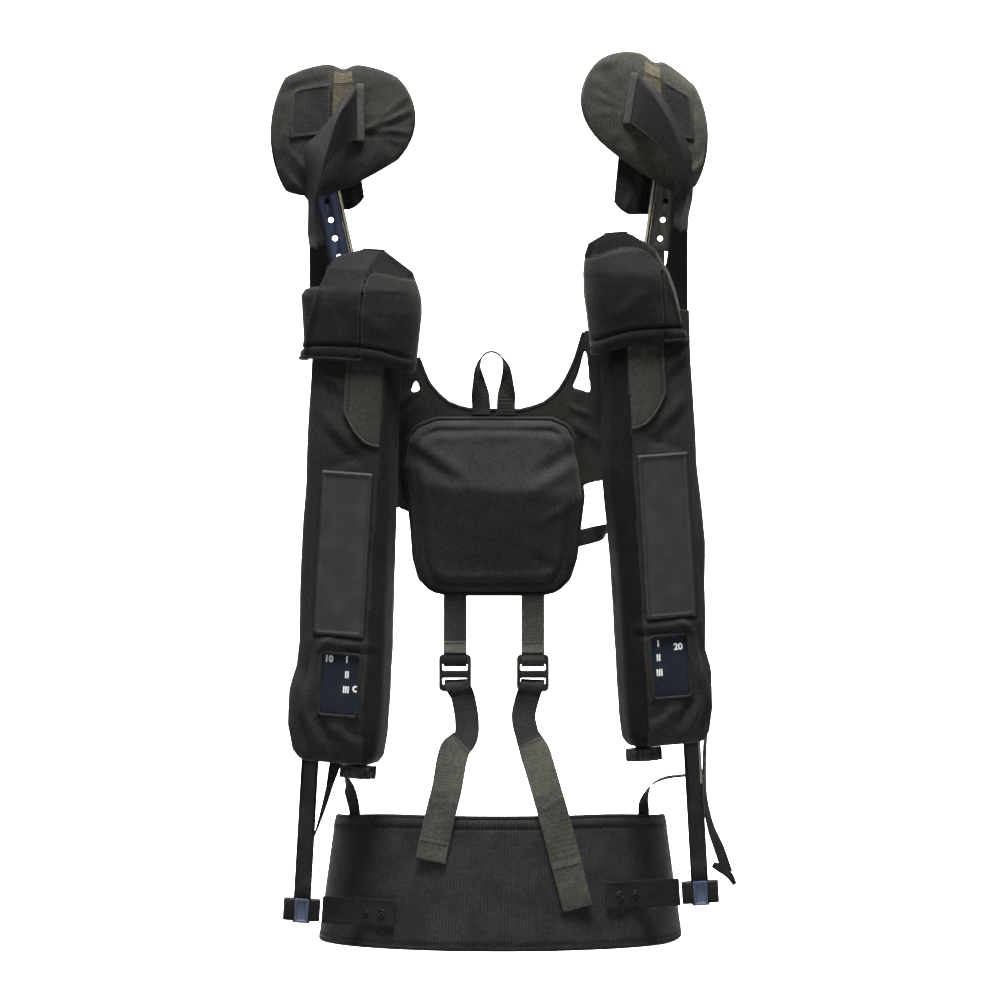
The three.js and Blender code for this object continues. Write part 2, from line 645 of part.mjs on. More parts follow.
// Grab loop: webbing whose two feet lie side by side and whose top turns edge on
function loopGeometry() {
  const y = PANEL.y - 1.1;
  const stations = [
    { at: [-14, y, 92], across: [1, 0, 0] },
    { at: [-14, y, 104], across: [1, 0, 0] },
    { at: [-15, y - 1, 124], across: [0.8, 0.6, 0] },
    { at: [-12, y - 1, 144], across: [0.35, 0.95, 0] },
    { at: [-3, y - 1, 160], across: [0, 1, 0] },
    { at: [8, y - 1, 144], across: [-0.35, 0.95, 0] },
    { at: [13, y - 1, 124], across: [-0.8, 0.6, 0] },
    { at: [13, y, 104], across: [-1, 0, 0] },
    { at: [13, y, 92], across: [-1, 0, 0] },
  ];
  return strap(stations, 20, 2, 3);
}

// Webbing under the panel, its ladder-lock buckle and the tail that lies on the belt
const LOWER = [
  {
    name: "left",
    x: -42,
    tail: [[-34, -207.6], [-29, -240], [-31, -256], [-42, -268], [-51, -310], [-59, -342], [-68, -386]],
  },
  {
    name: "right",
    x: 42,
    tail: [[37, -208.4], [32, -232], [36, -252], [44, -270], [57, -312], [65, -340], [90, -437]],
  },
];
const BUCKLE = { width: 35, tall: 40, thick: 9, z: -186, y: -14 };

function upperWebbingGeometry(x) {
  const stations = [
    { at: [x, PANEL.y - 2.5, -101.8], across: [1, 0, 0] },
    { at: [x, PANEL.y - 4, -130], across: [1, 0, 0] },
    { at: [x, BUCKLE.y, BUCKLE.z + BUCKLE.tall / 2 + GAP], across: [1, 0, 0] },
  ];
  return strap(stations, WEBBING, WEBBING_THICK, 3);
}

function buckleGeometry() {
  const frame = roundedRect(BUCKLE.width, BUCKLE.tall, 5);
  const slot = roundedRect(WEBBING + 2, 7, 1.5);
  const plain = { curveSegments: 3, bevelEnabled: false };
  const body = new THREE.ExtrudeGeometry(frame, { ...plain, depth: BUCKLE.thick });
  const through = new THREE.ExtrudeGeometry(slot, { ...plain, depth: BUCKLE.thick + 4 });
  const cut = (z) => solid(through.clone().translate(0, z, -2));
  const made = solid(body).subtract(cut(6)).subtract(cut(-9));
  return geometryOf(made).rotateX(Math.PI / 2).translate(0, BUCKLE.thick / 2, 0);
}

function tailGeometry(row) {
  const beltBack = (x, z) => {
    const t = THREE.MathUtils.clamp((BELT.top - z) / (BELT.top - BELT.foot), 0, 1);
    const halfX = lerp(BELT_HALF.topX, BELT_HALF.footX, t);
    const halfY = lerp(BELT_HALF.topY, BELT_HALF.footY, t);
    return BELT.y - halfY * Math.sqrt(1 - ((x - BELT.x) / halfX) ** 2);
  };
  const stations = row.tail.map(([x, z], i) => {
    const onBelt = beltBack(x, z) - 3.2;
    const y = lerp(BUCKLE.y - 3, onBelt, smooth(-z, 205, 335));
    const turn = i > 3 ? 0.15 * Math.sign(x) : 0;
    return { at: [x, y, z], across: [1, turn, 0], width: i < 3 ? TAIL.narrow : TAIL.wide };
  });
  return strap(stations, TAIL.wide, TAIL.thick, 4);
}

// Shoulder strap: a padded loop in front of the yoke, closed below by thinner webbing
const STRAP_ROUTE = [
  { x: 68, y: 3.2, z: 50 },
  { x: 68, y: 4.4, z: 78 },
  { x: 68, y: 18, z: 94 },
  { x: 68, y: 40, z: 96 },
  { x: 68, y: 60, z: 80 },
  { x: 68, y: 69, z: 45 },
  { x: 68, y: 70, z: 0 },
  { x: 68, y: 62, z: -40 },
];
function shoulderStrapGeometry(out) {
  const stations = STRAP_ROUTE.map((p) => ({ at: [out * p.x, p.y, p.z], across: [1, 0, 0] }));
  return strap(stations, SHOULDER_STRAP.width, SHOULDER_STRAP.thick, 3);
}

const STRAP_END = {
  left: [[-68, 61.8, -41.4], [-70, 52, -64], [-74, 32, -70], [-76, 12, -52], [-76, -3.5, -51]],
  right: [
    [68, 61.8, -45.4],
    [80, 52, -60],
    [104, 36, -56],
    [122, 14, -34],
    [112, -5, -36],
    [93.6, -6.5, -40],
  ],
};
function strapWebbingGeometry(points, out) {
  const stations = points.map((p, i) => {
    const last = i / (points.length - 1);
    return { at: p, across: [out * (1 - last), 0, last] };
  });
  return strap(stations, 18, WEBBING_THICK, 4);
}

// Thin straps between belt, sleeve foot and bar
const THIN = {
  side_strap_left: [
    { at: [-151, 10, -338.4], across: [1, -0.4, 0] },
    { at: [-154, 2, -322], across: [1, 0.2, 0] },
    { at: [-159, -22, -300], across: [0.2, 1, 0] },
    { at: [-158, -30, -281], across: [0.6, 1, 0] },
  ],
  bar_strap_left: [
    { at: [-171, -24, -282], across: [1, 0.2, 0] },
    { at: [-178, -22, -310], across: [0.6, 1, 0] },
    { at: [-186, -26, -338], across: [0.3, 1, 0] },
    { at: [-192, -30, -366], across: [0, 1, 0.2] },
  ],
  side_strap_right: [
    { at: [162, 6.6, -337.6], across: [1, 0.4, 0] },
    { at: [162, 2, -326], across: [1, 0.1, 0] },
    { at: [168, -6, -310], across: [0.8, 0, 0.5] },
    { at: [184, -16, -300], across: [0.3, 0, 1] },
    { at: [203, -22, -297], across: [0, 0, 1] },
  ],
  loose_tail_right: [
    { at: [235.5, -23, -224], across: [0.3, 1, 0] },
    { at: [233, -22, -258], across: [0.3, 1, 0] },
    { at: [231, -22, -290], across: [0.3, 1, 0] },
    { at: [231, -22, -322], across: [0.4, 1, 0] },
    { at: [236, -23, -352], across: [0.6, 0.8, 0] },
    { at: [244, -25, -378], across: [0.8, 0.5, 0.3] },
    { at: [252, -26, -402], across: [0.8, 0.4, 0.3] },
  ],
};

const exoskeleton = new THREE.Group();
exoskeleton.name = "shoulder_exoskeleton";
for (const side of SIDES) buildSide(exoskeleton, side);
exoskeleton.updateMatrixWorld(true);

add(exoskeleton, "yoke", yokeGeometry(), BLACK_CLOTH);
add(exoskeleton, "back_panel", panelGeometry(), PANEL_CLOTH);
add(exoskeleton, "grab_loop", loopGeometry(), GREY_WEBBING);
add(exoskeleton, "lumbar_belt", beltGeometry(), BLACK_CLOTH);
add(exoskeleton, "waist_clasp", claspGeometry(), BLACK_PLASTIC);

for (const side of SIDES) {
  add(exoskeleton, `waist_strap_${side.name}`, frontStrapGeometry(side.out), BLACK_CLOTH);
  add(exoskeleton, `shoulder_strap_${side.name}`, shoulderStrapGeometry(side.out), BLACK_CLOTH);
  const webbing = strapWebbingGeometry(STRAP_END[side.name], side.out);
  add(exoskeleton, `strap_webbing_${side.name}`, webbing, BLACK_CLOTH);
  const clip = exoskeleton.getObjectByName(`belt_clip_${side.name}`);
  const clipCentre = clip.localToWorld(vec(0, 0, CLIP.tall / 2));
  add(exoskeleton, `belt_tab_${side.name}`, tabGeometry(side, clipCentre), BLACK_CLOTH);
}

for (const row of LOWER) {
  add(exoskeleton, `upper_webbing_${row.name}`, upperWebbingGeometry(row.x), GREY_WEBBING);
  const buckle = add(exoskeleton, `buckle_${row.name}`, buckleGeometry(), BLACK_PLASTIC);
  buckle.position.set(row.x, BUCKLE.y, BUCKLE.z);
  add(exoskeleton, `tail_${row.name}`, tailGeometry(row), GREY_WEBBING);
}

for (const [name, stations] of Object.entries(THIN)) {
  add(exoskeleton, name, strap(stations, THIN_STRAP.width, THIN_STRAP.thick, 3), BLACK_CLOTH);
}

export default exoskeleton;
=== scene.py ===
import math

import bmesh
import bpy
import numpy as np
from mathutils import Matrix, Vector, noise


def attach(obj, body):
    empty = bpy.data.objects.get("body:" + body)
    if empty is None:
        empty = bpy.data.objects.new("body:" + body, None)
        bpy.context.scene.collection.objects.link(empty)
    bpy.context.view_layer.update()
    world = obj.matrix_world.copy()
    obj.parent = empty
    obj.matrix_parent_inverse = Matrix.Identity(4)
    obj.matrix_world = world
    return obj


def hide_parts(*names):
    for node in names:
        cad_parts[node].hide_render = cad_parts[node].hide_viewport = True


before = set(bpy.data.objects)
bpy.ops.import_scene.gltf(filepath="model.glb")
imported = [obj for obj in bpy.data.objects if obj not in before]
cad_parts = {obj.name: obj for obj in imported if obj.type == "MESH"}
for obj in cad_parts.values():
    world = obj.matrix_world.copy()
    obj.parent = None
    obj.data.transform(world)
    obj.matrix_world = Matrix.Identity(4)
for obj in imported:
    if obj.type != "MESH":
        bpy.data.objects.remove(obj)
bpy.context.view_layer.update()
scene = bpy.context.scene

# The studio: a pale floor that sweeps up into a wall, three soft boxes and a long lens level with the back.
# The lens stands three degrees above the middle of the harness, nine metres off, as in a catalogue picture.
SWEEP_HALF_WIDTH, SWEEP_FLOOR, SWEEP_WALL, SWEEP_BEND = 1.6, -0.95, 2.8, 1.0
SWEEP_NEAR, SWEEP_ROWS, FLOOR_ROWS, BEND_ROWS, WALL_ROW = -9, 40, 10, 20, 0.13


def placed(name, data):
    """Puts a new object with its data in the scene."""
    made = bpy.data.objects.new(name, data)
    scene.collection.objects.link(made)
    return made


sweep_bm = bmesh.new()
bmesh.ops.create_grid(sweep_bm, x_segments=1, y_segments=SWEEP_ROWS, size=1.0)
for v in sweep_bm.verts:
    row = (v.co.y + 1) / 2 * SWEEP_ROWS
    turn = math.pi / 2 * min(1.0, max(0.0, (row - FLOOR_ROWS) / BEND_ROWS))
    floor = SWEEP_NEAR + (SWEEP_WALL - SWEEP_BEND - SWEEP_NEAR) * min(1.0, row / FLOOR_ROWS)
    rise = SWEEP_BEND * (1 - math.cos(turn)) + WALL_ROW * max(0.0, row - FLOOR_ROWS - BEND_ROWS)
    v.co = (v.co.x * SWEEP_HALF_WIDTH, floor + SWEEP_BEND * math.sin(turn), SWEEP_FLOOR + rise)
sweep_mesh = bpy.data.meshes.new("sweep")
bmesh.ops.recalc_face_normals(sweep_bm, faces=sweep_bm.faces)
sweep_bm.to_mesh(sweep_mesh)
sweep_bm.free()
sweep_mesh.polygons.foreach_set("use_smooth", [True] * len(sweep_mesh.polygons))
sweep = placed("sweep", sweep_mesh)
sweep_paint = bpy.data.materials.new("pale_sweep")
sweep_paint.use_nodes = True
sweep_shade = sweep_paint.node_tree.nodes["Principled BSDF"]
sweep_shade.inputs["Base Color"].default_value = (0.6, 0.6, 0.6, 1)
sweep_shade.inputs["Roughness"].default_value = 0.9
sweep_mesh.materials.append(sweep_paint)

sky = bpy.data.worlds.new("studio")
sky.use_nodes = True
sky.node_tree.nodes["Background"].inputs["Color"].default_value = (0.96, 0.98, 1.0, 1)
sky.node_tree.nodes["Background"].inputs["Strength"].default_value = 0.1
scene.world = sky
scene.view_settings.view_transform = "Standard"


def soft_box(name, place, target, size, watts, spread, colour):
    lamp = bpy.data.lights.new(name, "AREA")
    lamp.size = size
    lamp.energy = watts
    lamp.spread = math.radians(spread)
    lamp.color = colour
    stand = placed(name, lamp)
    stand.location = place
    stand.rotation_euler = (Vector(target) - Vector(place)).to_track_quat("-Z", "Y").to_euler()


soft_box("key_box", (-0.1, -0.9, 2.9), (0, 0, 0.1), 1.2, 66, 90, (1.0, 0.99, 0.965))
soft_box("front_box", (0.2, -4.2, 0.9), (0, 0, -0.1), 1.6, 9, 120, (0.88, 0.93, 1.0))
soft_box("wall_box", (0, 0.9, 3.4), (0, 2.8, 0.1), 2.4, 560, 75, (1, 1, 1))

LENS_SHIFT, LENS_FAR, LENS_RISE = 0.0065, 9, math.radians(3)
lens = bpy.data.cameras.new("lens")
lens.lens = 300
lens.sensor_width = 36
camera = placed("camera", lens)
camera.location = (LENS_SHIFT, -LENS_FAR * math.cos(LENS_RISE), LENS_FAR * math.sin(LENS_RISE))
camera.rotation_euler = (math.pi / 2 - LENS_RISE, 0, 0)
scene.camera = camera

# The back panel is a foam pad in brushed polyester, sewn round its edge with a folded binding.
# A second seam runs a finger's width inside the edge, and the pad is bowed where the back bends.
PANEL_HEIGHTS = (-101, -97, -84, -62, -28, 4, 36, 66, 80, 88)
PANEL_LEFT = (-50, -67, -80, -86, -88.5, -92, -98, -93, -83, -62)
PANEL_RIGHT = (52, 68, 81, 88, 92, 96, 92, 87, 80, 62)
PANEL_FOOT, PANEL_TOP = PANEL_HEIGHTS[0], PANEL_HEIGHTS[-1]
PANEL_FRONT, PANEL_FOAM, PANEL_BORDER = -4.5, 9.5, 12
PANEL_BOW, PANEL_BEND, BOW_FOOT, BOW_TOP, BOW_SHARP = 23, 13, -101, 94, 24
PANEL_FOLDS = (
    ((-88, 66), (-34, 30), 7, 2.8),
    ((-86, 50), (-40, 20), 7, -3.0),
    ((86, 38), (40, 12), 8, 3.0),
    ((88, 54), (46, 28), 8, -3.4),
    ((78, 76), (20, 68), 6, -2.0),
    ((-74, 76), (-14, 70), 6, -2.0),
    ((88, 0), (52, -22), 5, 1.6),
    ((66, -74), (40, -58), 5, -1.5),
)
MM = 0.001


def blend_to(low, high, value):
    share = min(1.0, max(0.0, (value - low) / (high - low)))
    return share * share * (3 - 2 * share)


def bump_at(value, middle, half_width):
    return math.exp(-(((value - middle) / half_width) ** 2))


def crease(x, z, start, end, half_width, height):
    """A fold that runs from start to end on a flat cloth, fading at both ends."""
    run = Vector(end) - Vector(start)
    along = (Vector((x, z)) - Vector(start)).dot(run) / run.length_squared
    if along < -0.3 or along > 1.3:
        return 0.0
    off = (Vector((x, z)) - Vector(start) - run * along).length
    fade = blend_to(-0.3, 0.25, along) * (1 - blend_to(0.6, 1.3, along))
    return height * fade * math.exp(-((off / half_width) ** 2))


def folded(x, z, folds):
    """The height of several folds together, each given by start, end, half width and height."""
    return sum(crease(x, z, *fold) for fold in folds)


def cloth_grid(columns, rows, place):
    """A grid of cloth: place() says where each point goes, with u along it and v across it from 0 to 1."""
    bm = bmesh.new()
    bm.loops.layers.uv.new("cut")
    bmesh.ops.create_grid(bm, x_segments=columns, y_segments=rows, size=0.5, calc_uvs=True)
    for v in bm.verts:
        v.co = place(v.co.x + 0.5, v.co.y + 0.5)
    return bm


def faced(bm):
    """Turns the faces of a mesh to one side."""
    bmesh.ops.recalc_face_normals(bm, faces=bm.faces)
    return bm


def piece(name, bm, finish, smooth=True):
    """Makes the finished mesh an object with its materials, its place in its vertices."""
    mesh = bpy.data.meshes.new(name)
    bm.to_mesh(mesh)
    bm.free()
    if smooth:
        mesh.polygons.foreach_set("use_smooth", [True] * len(mesh.polygons))
    for material in finish if isinstance(finish, (list, tuple)) else [finish]:
        mesh.materials.append(material)
    return placed(name, mesh)


def add_node(made, kind, sockets=(), **options):
    """A new shader node in a material, with its options and the values of its input sockets."""
    node = made.node_tree.nodes.new(f"ShaderNode{kind}")
    for option, value in options.items():
        setattr(node, option, value)
    for socket, value in dict(sockets).items():
        node.inputs[socket].default_value = value
    return node


def tone_ramp(made, *stops):
    """A ramp between two tones, each given by its place on the ramp and its colour."""
    ramp = add_node(made, "ValToRGB")
    for stop, (at, colour) in zip(ramp.color_ramp.elements, stops):
        stop.position, stop.color = at, (*colour, 1)
    return ramp


def wire(made, *runs):
    """Links shader nodes, each run from a node's output to another node's input."""
    for node, output, goal, socket in runs:
        made.node_tree.links.new(node.outputs[output], goal.inputs[socket])


def cloth(name, dark, light, thread_mm, relief=0.3, sheen=0.2, rough=0.88, patches=11.0):
    """Woven cloth: warp and weft ridges, a slow drift of tone and a darker colour where weave and fuzz lie low."""
    made = bpy.data.materials.new(name)
    made.use_nodes = True
    shade = made.node_tree.nodes["Principled BSDF"]
    shade.inputs["Roughness"].default_value = rough
    shade.inputs["Specular IOR Level"].default_value = 0.12
    shade.inputs["Sheen Weight"].default_value = sheen
    shade.inputs["Sheen Roughness"].default_value = 0.45
    shade.inputs["Sheen Tint"].default_value = (0.25, 0.245, 0.22, 1)
    where = add_node(made, "TexCoord")
    drift = add_node(made, "TexNoise", {"Scale": patches, "Detail": 5})
    tone = tone_ramp(made, (0.36, dark), (0.66, light))
    thread = {"Scale": 2 * math.pi / (20 * thread_mm * MM), "Distortion": 0.6, "Detail": 1}
    warp, weft = [add_node(made, "TexWave", thread, bands_direction=way) for way in "XZ"]
    weave = add_node(made, "Math", operation="MULTIPLY")
    fuzz = add_node(made, "TexNoise", {"Scale": 900})
    height = add_node(made, "Math", operation="ADD")
    nap = add_node(made, "TexNoise", {"Scale": 330, "Detail": 4})
    worn = add_node(made, "MapRange", {"From Min": 0.3, "From Max": 0.7, "To Min": 0.76, "To Max": 1.24})
    bump = add_node(made, "Bump", {"Strength": relief, "Distance": 0.0006})
    groove = add_node(made, "Mix", {"Factor": 0.35}, data_type="RGBA", blend_type="MULTIPLY")
    brushed = add_node(made, "Mix", {"Factor": 1}, data_type="RGBA", blend_type="MULTIPLY")
    wire(
        made,
        *[(where, "Object", texture, "Vector") for texture in (drift, warp, weft, fuzz, nap)],
        (drift, "Fac", tone, "Fac"),
        (warp, "Fac", weave, 0),
        (weft, "Fac", weave, 1),
        (weave, 0, height, 0),
        (fuzz, "Fac", height, 1),
        (nap, "Fac", worn, "Value"),
        (height, 0, bump, "Height"),
        (bump, "Normal", shade, "Normal"),
        (tone, "Color", groove, "A"),
        (height, 0, groove, "B"),
        (groove, "Result", brushed, "A"),
        (worn, "Result", brushed, "B"),
        (brushed, "Result", shade, "Base Color"),
    )
    return made


def panel_edges(z):
    return np.interp(z, PANEL_HEIGHTS, PANEL_LEFT), np.interp(z, PANEL_HEIGHTS, PANEL_RIGHT)


PANEL_LEVELS = np.linspace(PANEL_FOOT, PANEL_TOP, 160)
PANEL_SIDES = np.array([panel_edges(z) for z in PANEL_LEVELS])


def panel_inset(x, z):
    """How far a point lies inside the outline of the panel."""
    to_left = np.hypot(np.maximum(0.0, x - PANEL_SIDES[:, 0]), z - PANEL_LEVELS).min()
    to_right = np.hypot(np.maximum(0.0, PANEL_SIDES[:, 1] - x), z - PANEL_LEVELS).min()
    return max(0.0, min(z - PANEL_FOOT, PANEL_TOP - z, to_left, to_right))


def panel_back(u, v):
    z = PANEL_FOOT + (PANEL_TOP - PANEL_FOOT) * v
    left, right = panel_edges(z)
    x = left + (right - left) * u
    inset = panel_inset(x, z)
    pad = PANEL_FOAM * (1 - math.exp(-inset / 4.5))
    pad += 1.6 * bump_at(inset, PANEL_BORDER + 7, 5) - 2.4 * bump_at(inset, PANEL_BORDER, 2.2)
    centre = 1 - ((x - (left + right) / 2) / ((right - left) / 2)) ** 2
    ridge = PANEL_BEND - 0.07 * x
    below, above = (z - BOW_FOOT) / (ridge - BOW_FOOT), (BOW_TOP - z) / (BOW_TOP - ridge)
    bend = -math.log(math.exp(-BOW_SHARP * below) + math.exp(-BOW_SHARP * above)) / BOW_SHARP
    pad += PANEL_BOW * max(0.0, bend) * max(0.0, centre) ** 0.5
    pad += folded(x, z, PANEL_FOLDS) + 0.5 * noise.noise(Vector((x / 21, z / 21, 3)))
    return Vector((x, PANEL_FRONT - 0.3 - max(0.6, pad), z)) * MM


panel_bm = cloth_grid(84, 88, panel_back)
rim = [e for e in panel_bm.edges if e.is_boundary]
wall = bmesh.ops.extrude_edge_only(panel_bm, edges=rim)["geom"]
for v in (g for g in wall if isinstance(g, bmesh.types.BMVert)):
    v.co.y = PANEL_FRONT * MM
bmesh.ops.holes_fill(panel_bm, edges=[e for e in panel_bm.edges if e.is_boundary], sides=0)
faced(panel_bm)
PANEL_CLOTH = cloth(
    "brushed_panel_cloth", (0.017, 0.017, 0.0172), (0.023, 0.023, 0.022), thread_mm=1.1, relief=0.22, sheen=0.42
)
panel = piece("panel_pad", panel_bm, PANEL_CLOTH)
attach(panel, "harness")
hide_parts("back_panel")


def as_mesh(drawn):
    """The finished mesh of an object, with its modifiers or its curve worked out."""
    return bpy.data.meshes.new_from_object(drawn.evaluated_get(bpy.context.evaluated_depsgraph_get()))


def welt(name, points, radius_mm, finish, closed=False):
    """A corded edge or rolled hem along a line of points, as a tube."""
    line = bpy.data.curves.new(name, "CURVE")
    line.dimensions = "3D"
    line.bevel_depth = radius_mm * MM
    line.bevel_resolution = 2
    line.use_fill_caps = not closed
    spline = line.splines.new("POLY")
    spline.points.add(len(points) - 1)
    for knot, at in zip(spline.points, points):
        knot.co = (*at, 1)
    spline.use_cyclic_u = closed
    drawn = placed(name + "_line", line)
    mesh = as_mesh(drawn)
    bpy.data.objects.remove(drawn)
    bpy.data.curves.remove(line)
    mesh.name = name
    mesh.polygons.foreach_set("use_smooth", [True] * len(mesh.polygons))
    mesh.materials.clear()
    mesh.materials.append(finish)
    return placed(name, mesh)


def stitches(name, lines, finish, pitch=3.4, length=2.3, width=0.55, thick=0.5):
    """Rows of thread, each line a list of points with the way the cloth faces there."""
    bm = bmesh.new()
    for points, facing in lines:
        steps = [0.0]
        for a, b in zip(points, points[1:]):
            steps.append(steps[-1] + (b - a).length / MM)
        count = max(1, int(steps[-1] / pitch))
        for i in range(count):
            middle = (i + 0.5) * steps[-1] / count
            j = min(len(points) - 2, max(0, int(np.searchsorted(steps, middle)) - 1))
            share = (middle - steps[j]) / max(1e-6, steps[j + 1] - steps[j])
            at = points[j].lerp(points[j + 1], share)
            run = (points[j + 1] - points[j]).normalized()
            out = (facing[j].lerp(facing[j + 1], share) if isinstance(facing, list) else Vector(facing)).normalized()
            side = out.cross(run).normalized()
            turn = Matrix((run, side, run.cross(side))).transposed().to_4x4()
            size = Matrix.Diagonal((length * MM, width * MM, thick * MM, 1))
            bmesh.ops.create_cube(bm, size=1.0, matrix=Matrix.Translation(at) @ turn @ size)
    return piece(name, bm, finish, smooth=False)


DARK_THREAD = cloth("dark_thread", (0.010, 0.010, 0.010), (0.016, 0.016, 0.015), thread_mm=0.5, relief=0.1, sheen=0.1)
PALE_THREAD = cloth("pale_thread", (0.075, 0.073, 0.062), (0.11, 0.105, 0.09), thread_mm=0.5, relief=0.1, sheen=0.1)
BINDING = cloth("edge_binding", (0.012, 0.012, 0.012), (0.020, 0.020, 0.018), thread_mm=0.9, relief=0.25, sheen=0.15)

heights = np.linspace(PANEL_FOOT, PANEL_TOP, 60)
outline = [(panel_edges(z)[1], z) for z in heights]
outline += [(x, PANEL_TOP) for x in np.linspace(PANEL_RIGHT[-1], PANEL_LEFT[-1], 20)[1:-1]]
outline += [(panel_edges(z)[0], z) for z in heights[::-1]]
outline += [(x, PANEL_FOOT) for x in np.linspace(PANEL_LEFT[0], PANEL_RIGHT[0], 20)[1:-1]]
panel_edge = [Vector((x, PANEL_FRONT - 2.6, z)) * MM for x, z in outline]
panel_binding = welt("panel_binding", panel_edge, 2.5, BINDING, closed=True)
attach(panel_binding, "harness")

# The yoke is a double layer of nylon behind the panel, with a bound neckline and a wing sewn to each sleeve.
# Its copy of the solid is rounded at the cut edges and puckered where the wings are gathered.
BLACK_CLOTH = cloth("black_nylon", (0.013, 0.013, 0.013), (0.024, 0.024, 0.021), thread_mm=1.2, relief=0.3, sheen=0.26)
YOKE_PUCKERS = (
    ((-78, 122), (-112, 96), 4, 2.2),
    ((-84, 104), (-118, 74), 5, 2.0),
    ((74, 104), (104, 92), 4, 2.0),
    ((84, 84), (118, 60), 5, 2.4),
)


def merged(node):
    """The mesh of a solid with the corners of its triangles joined."""
    bm = bmesh.new()
    bm.from_mesh(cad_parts[node].data)
    bmesh.ops.remove_doubles(bm, verts=bm.verts, dist=1e-5)
    return bm


def soft_copy(name, node, voxel_mm, smoothing, finish):
    """A merged copy of a solid with its hard cut edges rounded like turned cloth."""
    made = piece(name, merged(node), finish)
    skin = made.modifiers.new("skin", "REMESH")
    skin.mode = "VOXEL"
    skin.voxel_size = voxel_mm * MM
    soften = made.modifiers.new("soften", "SMOOTH")
    soften.factor = 0.5
    soften.iterations = smoothing
    bpy.context.view_layer.update()
    mesh = as_mesh(made)
    made.modifiers.clear()
    made.data = mesh
    mesh.polygons.foreach_set("use_smooth", [True] * len(mesh.polygons))
    mesh.materials.clear()
    mesh.materials.append(finish)
    return made


def neck_rise(x, z):
    """How far the horns of the yoke reach up behind the hems of the shoulder caps."""
    return 20 * blend_to(84, 99, x) * blend_to(128, 162, z) + 9 * blend_to(-68, -84, x) * blend_to(122, 146, z)


yoke = soft_copy("yoke_cloth", "yoke", voxel_mm=1.6, smoothing=5, finish=BLACK_CLOTH)
for v in yoke.data.vertices:
    x, z = v.co.x / MM, v.co.z / MM
    wing = blend_to(74, 92, abs(x))
    pucker = folded(x, z, YOKE_PUCKERS) + wing * noise.noise(Vector((x / 16, 1, z / 24)))
    collar = 0.8 * bump_at(z, 104 + 0.012 * x * x, 5) * (1 - wing)
    v.co.y -= (pucker * wing + collar) * MM
    v.co.z += neck_rise(x, z) * MM
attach(yoke, "harness")
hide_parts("yoke")

NECK_X = (-82, -76, -69, -60, -50, -38, -25, 0, 27, 40, 54, 63, 71, 79, 86, 92, 98)
NECK_Z = (146, 137, 125, 114.5, 106, 101, 98, 97.5, 97, 100, 105, 112, 120, 133, 148, 156, 164)
neck_line = []
for x in np.linspace(-82, 97, 90):
    z = np.interp(x, NECK_X, NECK_Z)
    neck_line.append(Vector((x, -2.6, z + neck_rise(x, z) - 0.4)) * MM)
neck_binding = welt("neck_binding", neck_line, 2.3, BINDING)
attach(neck_binding, "harness")

# The grab loop is narrow webbing with both ends sewn flat between yoke and panel, its top turned edge on.
# Five rows of close stitches hold the right end.


def route(points, share):
    """A smooth line through points, at a share of its length in points."""
    last = len(points) - 1
    i = min(int(share * last), last - 1)
    w = share * last - i
    p1, p2 = points[i], points[i + 1]
    p0 = points[i - 1] if i > 0 else 2 * p1 - p2
    p3 = points[i + 2] if i + 2 <= last else 2 * p2 - p1
    d0, d1, d2 = (max(1e-4, (b - a).length) ** 0.5 for a, b in ((p0, p1), (p1, p2), (p2, p3)))
    t1 = ((p1 - p0) / d0 - (p2 - p0) / (d0 + d1) + (p2 - p1) / d1) * d1
    t2 = ((p2 - p1) / d1 - (p3 - p1) / (d1 + d2) + (p3 - p2) / d2) * d1
    return p1 + t1 * w + (3 * p2 - 3 * p1 - 2 * t1 - t2) * w**2 + (2 * p1 - 2 * p2 + t1 + t2) * w**3


def strap_line(stations, width):
    """Where a strap runs: place(u, v, lift) is a point on it, u along, v across, lifted off its face."""
    at = [Vector(s[0]) for s in stations]
    across = [Vector(s[1]) for s in stations]
    widths = [s[2] if len(s) > 2 else width for s in stations]
    knots = np.linspace(0, 1, len(stations))

    def place(u, v, lift=0.0):
        step = 1e-3
        run = (route(at, min(1.0, u + step)) - route(at, max(0.0, u - step))).normalized()
        face = route(across, u).cross(run).normalized()
        side = run.cross(face)
        return (route(at, u) + side * (v - 0.5) * np.interp(u, knots, widths) + face * lift) * MM

    return place


def cut_to_size(bm, along, across, turned=False):
    """Stretches the unit map of a grid of cloth to metres; a turned one runs up the grid."""
    layer = bm.loops.layers.uv.active
    for face in bm.faces:
        for loop in face.loops:
            u, v = loop[layer].uv
            loop[layer].uv = (v * along, u * across) if turned else (u * along, v * across)
    return bm


def strap_bmesh(place, width, columns, rows=6, start=0.0, end=1.0, lift=None):
    """The grid of a strap between two shares of its run, its UV map in metres along and across."""

    def spot(u, v):
        share = start + (end - start) * u
        return place(share, v, lift(share, v) if lift else 0.0)

    bm = cloth_grid(columns, rows, spot)
    middles = [place(start + (end - start) * (i / columns), 0.5) for i in range(columns + 1)]
    length = sum((b - a).length for a, b in zip(middles, middles[1:]))
    return cut_to_size(bm, length, width * MM)


def sewn_thick(made, thick_mm, edge_slot=0, round_mm=0.45):
    """Gives a strap thickness and a soft edge; edge_slot is the cut edge's material, darker there as painted shade."""
    wall = made.modifiers.new("thickness", "SOLIDIFY")
    wall.thickness = thick_mm * MM
    wall.offset = 0
    wall.material_offset_rim = edge_slot
    edge = made.modifiers.new("edge", "BEVEL")
    edge.width = round_mm * MM
    edge.segments = 2
    edge.limit_method = "ANGLE"
    edge.angle_limit = math.radians(50)
    return made


